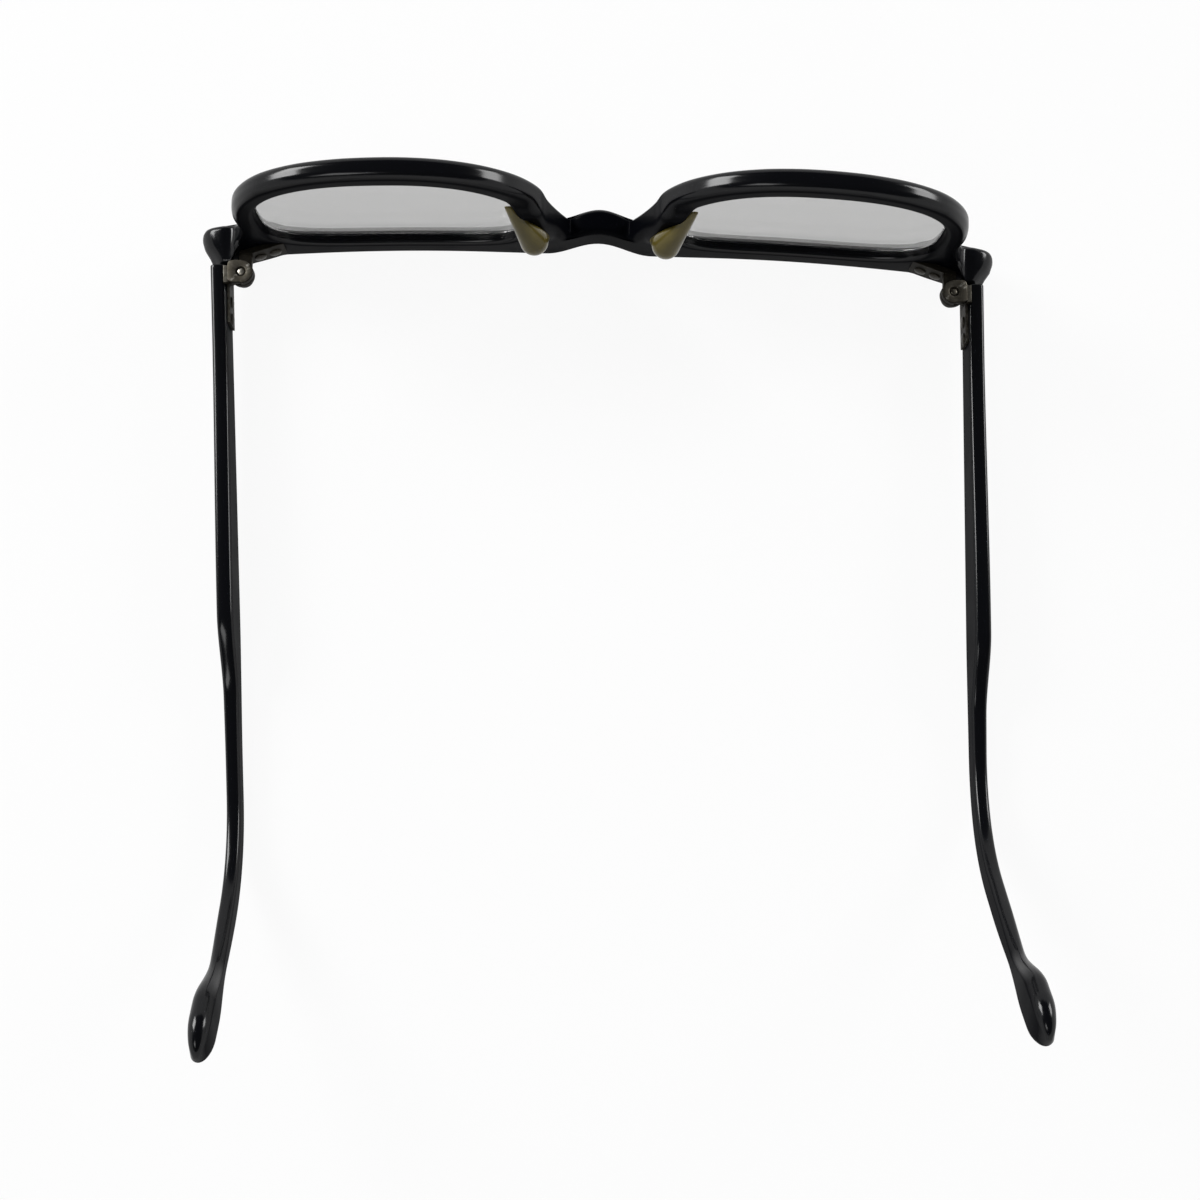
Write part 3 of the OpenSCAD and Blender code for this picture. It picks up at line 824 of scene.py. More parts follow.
@dataclass
class MouldedFront:
    """The black front: both rims, the brow bar, the bridge and the endpieces in one piece.

    Roundings of the outline are given at marks, which are numbers of guide points. Turns are the
    directions in the lens opening, in degrees, that the guide points are joined to.
    """

    opening: LensOpening = LensOpening()
    plan: FrontPlan = FrontPlan()
    brow_z: float = -0.5
    bridge_top: float = 0.5
    bridge_low: float = 7.9
    bridge_half: float = 5.4
    nose_half: float = 13.2
    rim_w: float = 3.95
    rim_nose_extra: float = 0.15
    rim_low_extra: float = 0.6
    end_top: float = 9.7
    soft_face_in: float = 0.8
    soft_rear_in: float = 0.9
    soft_marks: Marks = (0, 1, 4, 7, 9, 12.5, 16, 21.5, 26.3, 29, 32)
    soft_face: Marks = (0.75, 0.75, 0.9, 0.9, 1.0, 1.0, 1.45, 1.45, 0.7, 0.7, 1.15)
    soft_rear: Marks = (1.2, 1.2, 1.7, 1.8, 0.9, 0.9, 1.6, 1.6, 1.4, 1.1, 1.3)
    groove_deep: float = 0.6
    groove_y: Pair = (1.07, 1.85)
    brow_turns: Marks = (214, 217, 222, 233, 270, 305, 316, 322, 326.5, 330.5, 333.5, 336, 339, 344)
    rim_turns: Marks = tuple(range(-6, 175, 15))
    foot_turns: Marks = (540, 545, 549.5, 556, 566, 570.5)
    endpiece: range = range(6, 14)  # guide points with the fine spacing, and the rest from nose on
    nose: int = 26
    coarse: float = 1.0
    fine: float = 0.45
    smoothings: int = 12
    middle_spokes: int = 7
    steps_face: int = 8
    steps_rear: int = 22
    steps_wall: int = 8
    steps_roll: tuple[int, int] = (5, 7)  # round the opening, round the outline

    def guides(self) -> np.ndarray:
        """Guide points of half the outline.

        Returns:
            Points in x and z, from the top of the bridge round to its foot.
        """
        w, n, flank = self.plan.half_w, self.nose_half, self.nose_half - self.rim_w - self.rim_nose_extra
        top, brow, end, low = self.bridge_top, self.brow_z, self.end_top, self.bridge_low
        eye_x, eye_z = self.opening.centre
        over = [
            (0, top), (self.bridge_half, top - 0.25), (n * 0.76, brow + 0.2), (n * 1.21, brow),
            (eye_x, brow), (w - 17, brow), (w - 9, brow + 0.5), (w - 3.4, brow + 2.2),
            (w - 0.7, brow + 4.0), (w - 0.05, brow + 6.6), (w - 0.7, end - 2.0), (w - 2.0, end - 0.9),
            (w - 3.9, end - 0.35), (w - 6.5, end + 0.15),
        ]
        angles = np.array(self.rim_turns)
        c, s = np.cos(np.radians(angles)), np.sin(np.radians(angles))
        rim = self.opening.edge(angles, self.rim_w - self.rim_nose_extra * c + self.rim_low_extra * s * s)
        foot = [
            (flank * 0.80, eye_z - 4.7), (flank * 0.685, low + 2.6), (flank * 0.62, low + 0.5),
            (flank * 0.54, low - 0.05), (flank * 0.33, low + 0.55), (0, low + 0.9),
        ]
        return np.vstack([over, rim, foot])

    def outline(self, places: np.ndarray) -> np.ndarray:
        """Points of the smooth curve through the guides.

        Args:
            places: Guide numbers, with the share of the way to the next as fraction.

        Returns:
            The points in x and z.
        """
        g = self.guides()
        g = np.vstack([g[1] * [-1, 1], g, g[-2] * [-1, 1]])
        i = np.minimum(places.astype(int), len(g) - 4)
        t = (places - i)[:, None]
        a, b, c, d = g[i], g[i + 1], g[i + 2], g[i + 3]
        square, cube = (2 * a - 5 * b + 4 * c - d) * t**2, (3 * b - a - 3 * c + d) * t**3
        return 0.5 * (2 * b + (c - a) * t + square + cube)

    def spokes(self) -> tuple[np.ndarray, np.ndarray, np.ndarray, np.ndarray, np.ndarray]:
        """Pairs of outline and opening points that carry the mesh.

        Returns:
            Outline places, points and outward directions there, and opening angles for them,
            then the opening angles of the spokes that end in the middle plane of the bridge.
        """
        last = len(self.guides()) - 1
        angles = [*self.brow_turns, *(360 + angle for angle in self.rim_turns), *self.foot_turns]
        places = [0.0]
        for i in range(last):
            start, end = self.outline(np.array([i, i + 1 - 1e-6]))
            spacing = self.fine if i in self.endpiece or i >= self.nose else self.coarse
            count = max(3, math.ceil(float(np.linalg.norm(end - start)) / spacing))
            places.extend(i + np.arange(1, count + 1) / count)
        places = np.array(places)
        turn = np.interp(places, np.arange(last + 1), angles)
        for _ in range(self.smoothings):
            turn[1:-1] = (turn[:-2] + 2 * turn[1:-1] + turn[2:]) / 4
        points = self.outline(np.minimum(places, last - 1e-9))
        ahead, behind = np.clip(places + 0.02, 0, last - 1e-9), np.clip(places - 0.02, 0, last)
        normal = unit(aside(self.outline(ahead) - self.outline(behind)))
        normal[0], normal[-1] = (0, -1), (0, 1)
        middle = np.linspace(turn[-1] - 360, turn[0], self.middle_spokes + 2)[1:-1]
        return places, points, normal, turn, middle

    def half(self, side: Side) -> Draft:
        """Builds one half of the front, open in the middle plane.

        Args:
            side: Side of the half.

        Returns:
            The draft of the half, leaned and on its side.
        """
        places, points, normal, turn, middle = self.spokes()
        turns = np.concatenate([turn, middle + 360])
        away, edge = self.opening.outward(turns), self.opening.edge(turns)
        soft_face = eased(places, self.soft_marks, self.soft_face)
        soft_rear = eased(places, self.soft_marks, self.soft_rear)
        low = points[-1, 1] - soft_rear[-1]
        heights = np.linspace(low, self.bridge_top + soft_rear[0], len(middle) + 2)[1:-1]
        seam = np.column_stack([np.zeros(len(middle)), heights])

        def on_face(plane: np.ndarray, front: bool) -> np.ndarray:
            """Puts points of the front's plane on its front or rear face."""
            x, z = plane[..., 0], plane[..., 1]
            y = self.plan.face_y(x) if front else self.plan.rear_with_block(x, z, side)
            return np.stack([x, y, z], axis=-1)

        def roll(base: np.ndarray, out: np.ndarray, soft: np.ndarray, front: bool, steps: int) -> np.ndarray:
            """Rounds the edge between a face and the wall beside it.

            Args:
                base: Points of the wall, in x and z.
                out: Outward directions of the wall there.
                soft: Radius of the edge at each point.
                front: Whether the face is the front one.
                steps: Faces across the rounding.

            Returns:
                The points, from the face to the wall.
            """
            columns = []
            for a in arc(90, 0, steps):
                spot = on_face(base - out * (soft * (1 - math.cos(a)))[:, None], front)
                spot[..., 1] += (-1 if front else 1) * soft * (1 - math.sin(a))
                columns.append(spot)
            return np.stack(columns, axis=1)

        even, (inside, outside) = np.ones(len(turns)), self.steps_roll
        face_out = np.vstack([points - normal * soft_face[:, None], seam])
        rear_out = np.vstack([points - normal * soft_rear[:, None], seam])
        face = on_face(between(edge + away * self.soft_face_in, face_out, self.steps_face), True)
        rear = on_face(between(edge + away * self.soft_rear_in, rear_out, self.steps_rear), False)
        roll_face_in = roll(edge, -away, self.soft_face_in * even, True, inside)
        roll_rear_in = roll(edge, -away, self.soft_rear_in * even, False, inside)
        mouth, floor = on_face(edge, True), on_face(edge + away * self.groove_deep, True)
        near, far = (np.array([0.0, y, 0.0]) for y in self.groove_y)
        groove = np.stack([mouth - far, floor - far, floor - near, mouth - near], axis=1)
        ring = [rear[:, ::-1], roll_rear_in[:, 1:], groove, roll_face_in[:, ::-1][:, :-1], face]
        roll_face_out = roll(points, normal, soft_face, True, outside)
        roll_rear_out = roll(points, normal, soft_rear, False, outside)
        wall = between(roll_face_out[:, -1], roll_rear_out[:, -1], self.steps_wall)[:, 1:-1]
        draft = Draft()
        draft.add_grid(np.concatenate(ring, axis=1), ring=True)
        draft.add_grid(np.concatenate([roll_face_out, wall, roll_rear_out[:, ::-1]], axis=1))
        return draft.moved(self.plan.side_trim).moved(STANCE.tilted).moved(side.mirrored)

    def build(self, palette: Palette) -> None:
        """Builds and dresses the whole front."""
        draft = self.half(Side.RIGHT)
        draft.merge(self.half(Side.LEFT))
        palette.dress(draft.to_object("front_moulding", sharp=50.0), "black_plastic", "front", "front")


@dataclass
class Lens:
    """One lens, with the tongue that sits in the rim's groove.

    The profile of its edge gives how far each ring lies outside the opening and behind the face.
    """

    side: Side
    opening: LensOpening = LensOpening()
    plan: FrontPlan = FrontPlan()
    profile: tuple[Pair, ...] = (
        (-0.35, 0.7), (-0.15, 0.82), (-0.1, 1.1), (0.55, 1.1),
        (0.55, 1.8), (-0.1, 1.8), (-0.15, 2.08), (-0.35, 2.2),
    )
    hub: float = 0.02  # inmost ring, as share of the edge
    rings: int = 14
    steps: int = 144

    def build(self, palette: Palette) -> None:
        """Builds and dresses the lens.

        Args:
            palette: The finished materials.
        """
        angles = np.arange(self.steps) * 360.0 / self.steps
        edge = [(self.opening.edge(angles, grow), depth) for grow, depth in self.profile]
        (inner, front), (_, back) = edge[0], edge[-1]
        centre = np.array(self.opening.centre)
        flat = [centre + (inner - centre) * share for share in np.linspace(self.hub, 1, self.rings)[:-1]]
        rings = [(plane, front) for plane in flat] + edge + [(plane, back) for plane in flat[::-1]]
        rows = [np.column_stack([p[:, 0], self.plan.face_y(p[:, 0]) - depth, p[:, 1]]) for p, depth in rings]
        draft = Draft().add_solid(np.stack(rows)).moved(STANCE.tilted).moved(self.side.mirrored)
        node = f"{self.side.word}_lens"
        palette.dress(draft.to_object(f"{node}_glass"), "lens", "front", node)


@dataclass
class NosePad:
    """One moulded nose pad behind the inner side of a rim: a skin drawn tight over four balls.

    Each ball has its x, how far it lies behind the rim, its height and its radius, with the
    front standing upright.
    """

    side: Side
    plan: FrontPlan = FrontPlan()
    balls: tuple[Marks, ...] = (
        (9.7, -0.4, 11.8, 0.9), (15.7, -0.4, 28.0, 0.7), (11.4, 3.35, 20.6, 2.45), (12.6, -0.4, 17.9, 1.9),
    )
    sink: float = 0.3
    weld: float = 0.01
    sharp: float = 40.0
    steps: int = 28

    def build(self, palette: Palette) -> None:
        """Builds and dresses the pad.

        Args:
            palette: The finished materials.
        """
        x, behind, z, radii = np.array(self.balls).T
        middles = np.column_stack([x, self.plan.rear_y(x) - behind, z])
        polar = np.linspace(0, np.pi, self.steps + 1)[:, None]
        turn = np.linspace(0, 2 * np.pi, 2 * self.steps, endpoint=False)[None, :]
        ways = (np.sin(polar) * np.cos(turn), np.cos(polar) + 0 * turn, np.sin(polar) * np.sin(turn))
        skin = radii[:, None, None] * np.stack(ways, axis=-1).reshape(1, -1, 3)
        cloud = (middles[:, None, :] + skin).reshape(-1, 3)
        cloud[:, 1] = np.minimum(cloud[:, 1], self.plan.rear_y(cloud[:, 0]) + self.sink)
        work = bmesh.new()
        for spot in STANCE.placed(self.side.mirrored(STANCE.tilted(cloud))):
            work.verts.new(spot)
        bmesh.ops.remove_doubles(work, verts=work.verts, dist=self.weld * MM)
        hull = bmesh.ops.convex_hull(work, input=work.verts)
        spare = hull["geom_interior"] + hull["geom_unused"]
        inside = {v for v in spare if isinstance(v, bmesh.types.BMVert)}
        bmesh.ops.delete(work, geom=[v for v in inside if v.is_valid], context="VERTS")
        bmesh.ops.recalc_face_normals(work, faces=work.faces)
        node = f"{self.side.word}_nose_pad"
        mesh = bpy.data.meshes.new(node)
        work.to_mesh(mesh)
        work.free()
        palette.dress(shaded(f"{node}_moulding", mesh, self.sharp), "pad_plastic", "front", node)


@dataclass
class Temple:
    """One temple: a rounded strip with a knee, a bend behind the ear and a paddle tip.

    Lengths along it are measured back from the butt, and those of paddle and softer from the tip.
    """

    side: Side
    reach: float
    bend: float
    length: float = 141.4
    start_x: float = 67.9
    start_y: float = -6.42
    ahead: float = 0.45
    edge_z: float = 2.6
    bend_r: float = 33.5
    butt_h: float = 6.5
    knee_h: float = 8.5
    bend_h: float = 4.5
    tip_h: float = 8.6
    knee: Marks = (10.0, 63.0, 77.0)  # where it begins to rise, is highest and is low again
    butt_steps: Marks = (0.0, 0.06, 0.16, 0.3)
    thick: Marks = (2.8, 2.4, 3.6)  # at the butt, the bend and the tip
    thin: Pair = (62.0, 90.0)
    paddle: Pair = (13.5, 2.5)
    tip_round: float = 5.8
    tip_dome: float = 5.6
    tip_flat: float = 0.08  # share of the thickness that the tip ends with
    tip_arc: tuple[float, float, int] = (4.0, 90.0, 22)
    soft: Pair = (0.5, 1.5)  # of the strip, of the tip
    softer: Pair = (24.0, 8.0)
    taper: float = 0.039
    flare: Marks = (96.0, 1.6, 36.0)  # start, reach outward and length
    crown: float = 0.24
    roundest: float = 0.98  # largest rounding, as share of the half width or height
    first: float = 0.4  # first station past the butt's rounding
    step: float = 0.8

    def centre_x(self, s: np.ndarray) -> np.ndarray:
        """Middle of the thickness."""
        start, out, length = self.flare
        return self.start_x - self.taper * s + out * (np.maximum(s - start, 0) / length) ** 2

    def tipward(self, s: np.ndarray, marks: Pair) -> np.ndarray:
        """Smooth step between two distances from the tip."""
        return rise(s, self.length - marks[0], self.length - marks[1])

    def half_t(self, s: np.ndarray) -> np.ndarray:
        """Half of the thickness."""
        *strip, tip = self.thick
        return (eased(s, self.thin, strip) + (tip - strip[1]) * self.tipward(s, self.paddle)) / 2

    def inner_x(self, s: np.ndarray | float) -> np.ndarray:
        """Inner face."""
        return self.centre_x(s) - self.half_t(s)

    def height(self, s: np.ndarray) -> np.ndarray:
        """Height of the strip."""
        heights = (self.butt_h, self.knee_h, self.bend_h)
        return eased(s, self.knee, heights) + (self.tip_h - self.bend_h) * self.tipward(s, self.paddle)

    def edge(self, s: np.ndarray) -> tuple[np.ndarray, np.ndarray, np.ndarray]:
        """Upper edge as it lies on the table.

        Args:
            s: Distances along the edge.

        Returns:
            The y, the z and the downward turn in radians at each place.
        """
        down = math.asin(self.edge_z / self.reach)
        full = math.radians(self.bend)
        turn = np.clip((s - self.reach) / self.bend_r, 0, full + down) - down
        rest = np.maximum(s - self.reach - self.bend_r * (full + down), 0)
        bend_y = self.start_y - self.reach * math.cos(down)
        bend_y = bend_y - self.bend_r * (math.sin(down) + np.sin(turn)) - rest * np.cos(turn)
        bend_z = self.bend_r * (1 - np.cos(turn)) + rest * np.sin(turn)
        flat_y = self.start_y - s * math.cos(down)
        flat_z = self.bend_r * (1 - math.cos(down)) + (self.reach - s) * math.sin(down)
        flat = s <= self.reach
        return np.where(flat, flat_y, bend_y), np.where(flat, flat_z, bend_z), turn

    def stations(self) -> tuple[np.ndarray, np.ndarray, np.ndarray, np.ndarray]:
        """Places along the edge, with the low and high side of the strip and how full it is.

        Returns:
            Distances along the edge, lower and upper end of the section there, and the share
            of the full thickness.
        """
        butt = self.butt_steps[-1]
        begin = np.array(self.butt_steps) - self.ahead
        along = np.concatenate([begin, np.arange(self.first, self.length, self.step), [self.length]])
        left = butt - np.minimum(along + self.ahead, butt)
        inset = butt - np.sqrt(np.maximum(butt**2 - left**2, 0))
        ways = arc(*self.tip_arc)
        back, half = self.tip_round * np.sin(ways), self.tip_h / 2 * np.cos(ways)
        hollow = 1 - np.minimum((self.tip_round - back) / self.tip_dome, 1.0)
        dome = np.sqrt(np.maximum(1 - hollow**2, 0.0)) * (1 - self.tip_flat) + self.tip_flat
        return (
            np.concatenate([along, self.length + back]),
            np.concatenate([inset, self.tip_h / 2 - half]),
            np.concatenate([self.height(along) - inset, self.tip_h / 2 + half]),
            np.concatenate([1 - inset / self.thick[0] * 2, dome]),
        )

    def section(
        self, half_w: np.ndarray, low: np.ndarray, high: np.ndarray, soft_r: np.ndarray
    ) -> tuple[np.ndarray, np.ndarray]:
        """Rounded section at every station, its lower and upper face slightly crowned.

        Args:
            half_w: Half of the thickness at each station.
            low: Lower end of the section.
            high: Upper end of the section.
            soft_r: Radius of the edges.

        Returns:
            Offsets across and up, stations by points round the section.
        """
        half = half_w[:, None]
        room = np.minimum(half, (high - low)[:, None] / 2) * self.roundest
        soft = np.minimum(soft_r[:, None], room)
        crown = np.minimum(self.crown, soft)
        across, up = [], []
        for sign, start in ((1, 0), (-1, 90), (-1, 180), (1, 270)):
            end, lift = (high, -1) if start < 180 else (low, 1)
            corner = [(sign * (half - soft) + soft * math.cos(a), soft * (math.sin(a) + lift))
                      for a in arc(start, start + 90, 6)]
            if start in (0, 180):
                corner += [(sign * (half - soft) * share, 0) for share in np.linspace(0.75, -0.75, 7)]
            across += [out for out, _ in corner]
            up += [end[:, None] + climb + lift * crown * (out / half) ** 2 for out, climb in corner]
        return np.hstack(across), np.hstack(up)

    def build(self, palette: Palette) -> None:
        """Builds and dresses the temple.

        Args:
            palette: The finished materials.
        """
        along, low, high, full = self.stations()
        beyond = np.maximum(along - self.length, 0)
        y, z, turn = self.edge(np.minimum(along, self.length))
        y, z = y - beyond * np.cos(turn), z + beyond * np.sin(turn)
        soft = self.soft[0] + (self.soft[1] - self.soft[0]) * self.tipward(along, self.softer)
        across, up = self.section(self.half_t(along) * full, low, high, soft)
        depth = y[:, None] + up * np.sin(turn)[:, None]
        lift = z[:, None] + up * np.cos(turn)[:, None]
        side_x = self.centre_x(self.start_y - depth) + across
        draft = Draft().add_solid(np.stack([side_x, depth, np.maximum(lift, 0)], axis=-1))
        node = f"{self.side.word}_temple"
        strip = draft.on_temple(self.side).to_object(f"{node}_strip", sharp=60.0)
        palette.dress(strip, "black_plastic", node, node)


@dataclass
class Hinge:
    """One hinge: plate and middle barrel on the front, leaf and outer barrels on the temple.

    Levels and barrels are numbered from below. The plate has its length, thickness and height,
    heads have their radius and height, and the leaf its start and end behind the butt.
    """

    temple: Temple
    plan: FrontPlan = FrontPlan()
    barrel_r: float = 2.15
    low_r: float = 1.70
    barrel_z: float = 5.6
    barrel_h: float = 1.293
    barrel_gap: float = 0.06
    barrel_steps: int = 72
    square: Pair = (2.2, 2.0)  # reach of the upper barrel's square side to the front and back
    web: float = 0.85  # cosine from which the lower barrel reaches the leaf
    web_at: float = 4.0  # how far behind the butt the barrels meet the leaf
    sink: float = 0.4
    sink_slope: float = 0.75
    sink_edge: Pair = (0.06, 0.02)  # width and depth of the countersink's worn edge
    bore_edge: float = 0.05
    soft: float = 0.16
    slack: Pair = (0.03, 0.02)  # round the screw, in the front's barrel and the temple's ones
    screw_r: float = 0.6
    head: Pair = (1.05, 0.5)
    head_soft: float = 0.12
    head_in: float = 0.03
    screw_dome: float = 0.16
    screw_in: float = 0.1
    plate: Marks = (8.0, 1.1, 4.7)
    plate_z: float = 3.6
    plate_soft: float = 0.12
    corner: float = 0.5
    leaf_t: float = 0.9
    leaf_sink: float = 0.4
    leaf: Pair = (0.2, 10.4)
    leaf_z: Pair = (3.6, 8.2)
    leaf_soft: float = 0.14
    tab: Pair = (3.4, 1.0)  # end, and start above the foot of the leaf
    rivet_head: Pair = (1.05, 0.4)
    rivet_foot: float = 0.3
    rivet_shoulder: float = 0.35  # share of the head's height
    small_steps: int = 40
    front_rivets: Pair = (1.9, 4.7)
    front_rivet_z: float = 5.6
    temple_rivets: Pair = (6.1, 9.2)
    temple_rivet_z: float = 6.3
    neck: Marks = (2.3, 0.7, 0.4)  # width, reach outward and start ahead of the screw
    neck_in: float = 0.01  # how far its faces lie inside the barrel's
    neck_soft: float = 0.1
    lap: float = 0.2  # how far necks and webs reach into what they join

    @property
    def side(self) -> Side:
        """Side of the hinge."""
        return self.temple.side

    def level(self, number: int) -> float:
        """Height at which a barrel starts."""
        return self.barrel_z + number * (self.barrel_h + self.barrel_gap)

    def on_seat(self, points: np.ndarray) -> np.ndarray:
        """Carries points from the seat's own directions, x along the plate, to the front."""
        corner = np.array([self.plan.seat_x, self.plan.seat_y, 0.0])
        return rotated(points, -self.plan.seat_slope, (0, 1)) + corner

    def at_pin(self, draft: Draft) -> Draft:
        """Moves a draft from the z axis to the hinge pin."""
        return draft.moved(lambda p: p + np.array([STANCE.hinge_x, STANCE.hinge_y, 0.0]))

    def barrel(self, number: int, outline: np.ndarray, slack: float, sink: float = 0.0) -> Draft:
        """Barrel with a hole, from the distances of its outline round the pin.

        Args:
            number: Number of the barrel from below.
            outline: Distance of the outline from the pin, evenly round it.
            slack: How much wider than the screw the hole is.
            sink: Depth of the countersink at the upper face.

        Returns:
            The draft of the barrel, round the pin.
        """
        low, bore = self.level(number), self.screw_r + slack
        high = low + self.barrel_h
        rows = [(bore, low), (bore, high - sink)]
        if sink:
            wide, (edge, deep) = bore + sink * self.sink_slope, self.sink_edge
            rows += [(wide, high - deep), (wide + edge, high)]
        else:
            rows.append((bore + self.bore_edge, high))
        rows += [(outline - inset, z) for inset, z in reversed(rounding(low, high, self.soft))]
        return self.at_pin(turned(rows, len(outline)))

    def directions(self) -> tuple[np.ndarray, np.ndarray]:
        """Cosine and sine of the directions round a barrel."""
        angles = np.linspace(0, 2 * math.pi, self.barrel_steps, endpoint=False)
        return np.cos(angles), np.sin(angles)

    def rivets(self, places: list[np.ndarray], turn: Callable[[np.ndarray], np.ndarray]) -> Draft:
        """Low domed rivet heads.

        Args:
            places: Middle of each head's foot.
            turn: Turns a head from the z axis to the way it faces.

        Returns:
            The draft of the heads.
        """
        (r, high), foot, low = self.rivet_head, -self.rivet_foot, self.rivet_shoulder
        profile = [(AXIS_GAP, foot), (r, foot)]
        profile += [(r * math.cos(a), high * (low + (1 - low) * math.sin(a))) for a in arc(0, 84, 6)]
        heads = Draft()
        for place in places:
            head = turned(profile, self.small_steps)
            heads.merge(head.moved(turn).moved(lambda p, place=place: p + place))
        return heads

    def front_part(self, palette: Palette) -> None:
        """Builds the plate with the middle barrel, and its rivets.

        Args:
            palette: The finished materials.
        """
        length, thick, high = self.plate
        r = self.corner
        spots = [(length - r, high - r, 0), (r, high - r, 90), (r, r, 180), (length - r, r, 270)]
        outline = [
            (x + r * math.cos(a), z + r * math.sin(a))
            for x, z, start in spots for a in arc(start, start + 90, 5)
        ]
        plate = prism(np.array(outline), 0.0, thick, self.plate_soft)
        plate.moved(lambda p: np.column_stack([p[:, 0], -p[:, 2], p[:, 1] + self.plate_z]))
        plate.moved(self.on_seat)
        plate.merge(self.barrel(1, np.full(self.barrel_steps, self.barrel_r), self.slack[0]))
        width, reach, ahead = self.neck
        right, start = STANCE.hinge_x + reach, STANCE.hinge_y + self.screw_r + ahead
        left, low = right - width, self.level(1) + self.neck_in
        foot = [(x, float(self.plan.seat(x)) - self.lap) for x in (right, left)]
        neck = np.array([(left, start), (right, start), *foot])
        plate.merge(prism(neck, low, low + self.barrel_h - 2 * self.neck_in, self.neck_soft))
        name = f"{self.side.word}_front_hinge"
        piece = plate.moved(self.side.mirrored).to_object(f"{name}_plate")
        # The plate gets the hinge metal darkened as painted shade.
        palette.dress(piece, "hinge_metal", "front", name, "hinge_metal_painted_shade")
        places = [np.array([x, -thick, self.front_rivet_z]) for x in self.front_rivets]
        heads = self.rivets(places, lambda p: np.column_stack([p[:, 0], -p[:, 2], p[:, 1]]))
        name = f"{self.side.word}_front_rivets"
        piece = heads.moved(self.on_seat).moved(self.side.mirrored).to_object(f"{name}_heads")
        # The front rivet heads carry painted shade.
        palette.dress(piece, "hinge_metal", "front", name, "rivet_metal_painted_shade")

    def leaf_plan(self, start: float, end: float) -> np.ndarray:
        """Corners of the leaf in the plan.

        Args:
            start: Distance behind the butt at which it starts.
            end: Distance at which it ends.

        Returns:
            The corners, in order.
        """
        x0, x1 = (self.temple.inner_x(s) + self.leaf_sink for s in (start, end))
        y, t = self.temple.start_y, self.leaf_t
        near, far = y - start, y - end
        return np.array([(x0, near), (x1, far), (x1 - t, far), (x0 - t, near)], dtype=float)

    def temple_part(self, palette: Palette) -> None:
        """Builds the leaf with the outer barrels, and its rivets.

        Args:
            palette: The finished materials.
        """
        low, high = self.leaf_z
        leaf = prism(self.leaf_plan(*self.leaf), low, high, self.leaf_soft)
        top = self.level(2) + self.barrel_h
        end, above = self.tab
        leaf.merge(prism(self.leaf_plan(self.leaf[0], end), low + above, top, self.leaf_soft))
        out = float(self.temple.inner_x(self.web_at)) - STANCE.hinge_x - self.lap
        c, s = self.directions()
        square = ((np.abs(c) / out) ** 6 + (np.abs(s) / np.where(s >= 0, *self.square)) ** 6) ** (-1 / 6)
        upper = np.where(c > 0, np.maximum(square, self.barrel_r * (1 - c)), self.barrel_r)
        leaf.merge(self.barrel(2, upper, self.slack[1], self.sink))
        lower = np.where(c > self.web, out / np.maximum(c, self.web), self.low_r)
        leaf.merge(self.barrel(0, np.maximum(self.low_r, lower), self.slack[1]))
        body = f"{self.side.word}_temple"
        name = f"{body}_hinge"
        piece = leaf.on_temple(self.side).to_object(f"{name}_leaf")
        # Faces of the leaf that look up keep the plain hinge metal; the rest get it darkened as painted
        # shade.
        palette.dress(piece, "hinge_metal", body, name, "hinge_metal_painted_shade", "hinge_metal")
        places = [
            np.array([
                float(self.temple.inner_x(s)) + self.leaf_sink - self.leaf_t,
                self.temple.start_y - s,
                self.temple_rivet_z,
            ]) for s in self.temple_rivets
        ]
        heads = self.rivets(places, lambda p: np.column_stack([-p[:, 2], p[:, 1], p[:, 0]]))
        name = f"{body}_rivets"
        piece = heads.on_temple(self.side).to_object(f"{name}_heads")
        # The temple rivet heads carry painted shade.
        palette.dress(piece, "hinge_metal", body, name, "rivet_metal_painted_shade")

    def screw(self, palette: Palette) -> None:
        """Builds the hinge screw: head below, riveted-over end above. The left one gets the hinge metal, not
        the bright screw metal.

        Args:
            palette: The finished materials.
        """
        base, top = self.level(0), self.level(2) + self.barrel_h - self.screw_in
        (wide, high), r, dome = self.head, self.screw_r, self.screw_dome
        low, soft = base + self.head_in, self.head_soft
        profile = [(AXIS_GAP, low), (wide - soft, low), (wide, low + soft)]
        profile += [(wide, base + high), (r, base + high)]
        profile += [(r * math.cos(a), top - dome + dome * math.sin(a)) for a in arc(0, 84, 5)]
        draft = self.at_pin(turned(profile, self.small_steps)).on_temple(self.side)
        name = f"{self.side.word}_hinge_screw"
        finish = "screw_metal" if self.side is Side.RIGHT else "hinge_metal"
        body = f"{self.side.word}_temple"
        palette.dress(draft.to_object(f"{name}_pin"), "screw_metal", body, name, finish)


@dataclass(frozen=True)
class Softbox:
    """A rectangular soft lamp: its place and size in metres and its power in watts."""

    name: str
    spot: Triple
    size: Pair
    power: float
    aim: Triple = (0.0, 0.0, 0.02)

    def hang(self) -> None:
        """Hangs the lamp so that it faces the frame."""
        data = bpy.data.lights.new(self.name, "AREA")
        data.shape = "RECTANGLE"
        data.size, data.size_y = self.size
        data.energy = self.power
        lamp = bpy.data.objects.new(self.name, data)
        lamp.location = self.spot
        way = Vector(self.aim) - Vector(self.spot)
        lamp.rotation_euler = way.to_track_quat("-Z", "Y").to_euler()
        bpy.context.scene.collection.objects.link(lamp)


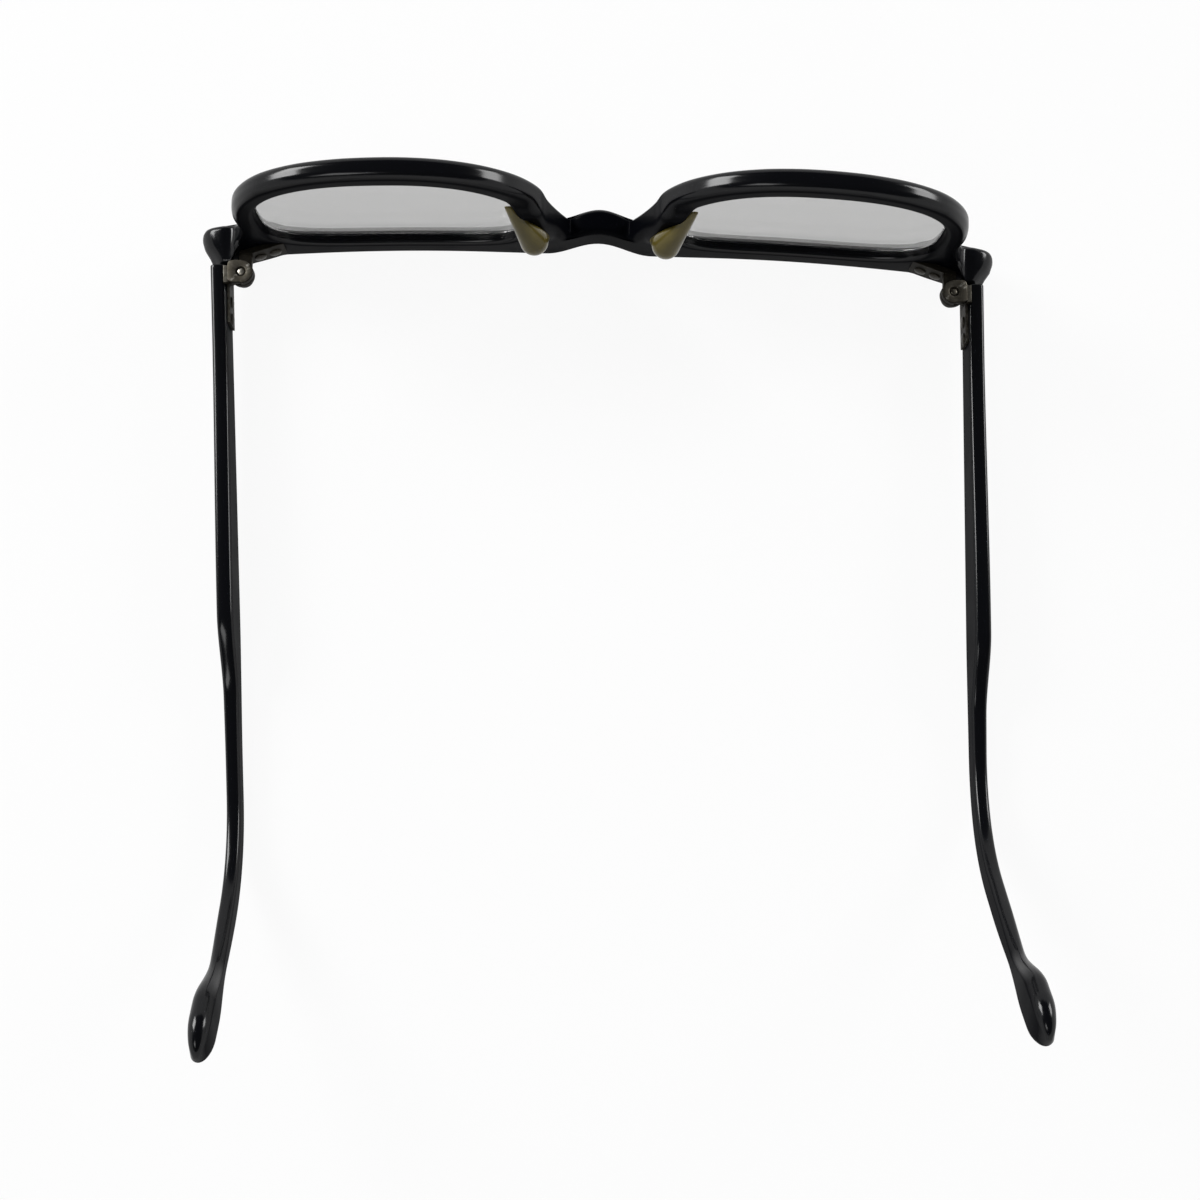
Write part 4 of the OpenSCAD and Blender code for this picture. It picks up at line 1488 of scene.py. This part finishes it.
@dataclass
class Studio:
    """Pale floor, soft lamps and the camera at the photograph's angle.

    The radius of the floor and the height and radius of its raised rim are in millimetres, all
    other lengths are in metres.
    """

    floor_color: Triple = (0.88, 0.88, 0.88)
    floor_white: float = 0.93
    floor_sink: float = 0.00002
    floor_r: float = 1200.0
    cove: float = 400.0
    wall: float = 900.0
    steps: int = 96
    lamps: tuple[Softbox, ...] = (
        Softbox("key_softbox", (-0.72, 0.42, 0.50), (0.42, 0.36), 8.0),
        Softbox("fill_softbox", (0.80, 0.42, 0.42), (0.38, 0.30), 4.4),
        Softbox("rear_softbox", (-0.35, -0.40, 0.75), (0.35, 0.22), 1.1),
    )
    sky: tuple[float, float, float, float] = (0.30, 0.31, 0.33, 1.0)
    sky_strength: float = 0.33
    camera_at: Triple = (-0.00335023, -0.0567780, 0.31398632)
    camera_turn: Triple = (0.192165279, -0.0181686151, 0.0240072284)
    lens_mm: float = 54.0

    def floor_material(self) -> bpy.types.Material:
        """Pale floor that takes shadows and looks white to the camera and in reflections.

        Returns:
            The material.
        """
        material = bpy.data.materials.new("studio_floor")
        material.use_nodes = True
        wires = Wires(material.node_tree)
        shader = wires.fill(wires.tree.nodes["Principled BSDF"], {
            "Base Color": (*self.floor_color, 1.0), "Roughness": 0.9, "Specular IOR Level": 0.0,
        })
        ray = wires.add("LightPath").outputs
        seen = wires.larger(ray["Is Camera Ray"], ray["Is Glossy Ray"], ray["Is Transmission Ray"])
        both = wires.add("MixShader", {
            "Fac": wires.level(seen, 0.0, self.floor_white),
            1: shader.outputs["BSDF"],
            2: wires.add("Emission").outputs["Emission"],
        })
        wires.fill(wires.tree.nodes["Material Output"], {"Surface": both.outputs["Shader"]})
        return material

    def floor(self) -> None:
        """Lays the floor and the raised backdrop round it."""
        far, cove = self.floor_r, self.cove
        rings = [(1.0, 0.0), (far, 0.0)]
        rings += [(far + cove * math.sin(a), cove - cove * math.cos(a)) for a in arc(0, 90, 10)]
        draft = Draft()
        grid = draft.add_grid(circles([*rings, (far + cove, self.wall)], self.steps), tube=True)
        draft.faces.append(tuple(grid[0].tolist()))
        floor = draft.to_object("studio_floor")
        floor.location.z = -self.floor_sink
        floor.data.materials.append(self.floor_material())

    def camera(self) -> None:
        """Sets the camera where the photograph was taken from."""
        data = bpy.data.cameras.new("photo_camera")
        data.lens = self.lens_mm
        data.sensor_width = 36.0
        data.clip_start, data.clip_end = 0.01, 20.0
        camera = bpy.data.objects.new("photo_camera", data)
        turn = Vector(self.camera_turn)
        camera.location = self.camera_at
        camera.rotation_mode = "AXIS_ANGLE"
        camera.rotation_axis_angle = (turn.length, *turn.normalized())
        bpy.context.scene.collection.objects.link(camera)
        bpy.context.scene.camera = camera

    def build(self) -> None:
        """Sets up the whole studio, with a dim world round the lamps."""
        self.floor()
        for lamp in self.lamps:
            lamp.hang()
        world = bpy.data.worlds.new("studio_world")
        bpy.context.scene.world = world
        world.use_nodes = True
        background = {"Color": self.sky, "Strength": self.sky_strength}
        Wires(world.node_tree).fill(world.node_tree.nodes["Background"], background)
        self.camera()
        bpy.context.scene.view_settings.view_transform = "Standard"


def dress_cores(frame: dict, palette: Palette) -> None:
    """Gives the stiffening wires, which keep their CAD shape, their drawn-wire finish.

    Args:
        frame: The loaded frame.
        palette: The finished materials.
    """
    for side in Side:
        wire = frame["nodes"][f"{side.word}_temple_core"]
        wire.data.materials.clear()
        wire.data.materials.append(palette.materials["core_metal"])
        LOG.info("%s keeps its CAD shape", wire.name)


def main() -> None:
    """Builds the dressed frame and its studio."""
    logging.basicConfig(level=logging.INFO)
    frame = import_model()
    palette = Palette()
    MouldedFront().build(palette)
    for side, reach, bend in ((Side.RIGHT, 93.5, 38.5), (Side.LEFT, 83.5, 46.0)):
        Lens(side).build(palette)
        NosePad(side).build(palette)
        temple = Temple(side, reach, bend)
        temple.build(palette)
        hinge = Hinge(temple)
        hinge.front_part(palette)
        hinge.temple_part(palette)
        hinge.screw(palette)
    dress_cores(frame, palette)
    Studio().build()


if __name__ == "__main__":
    main()
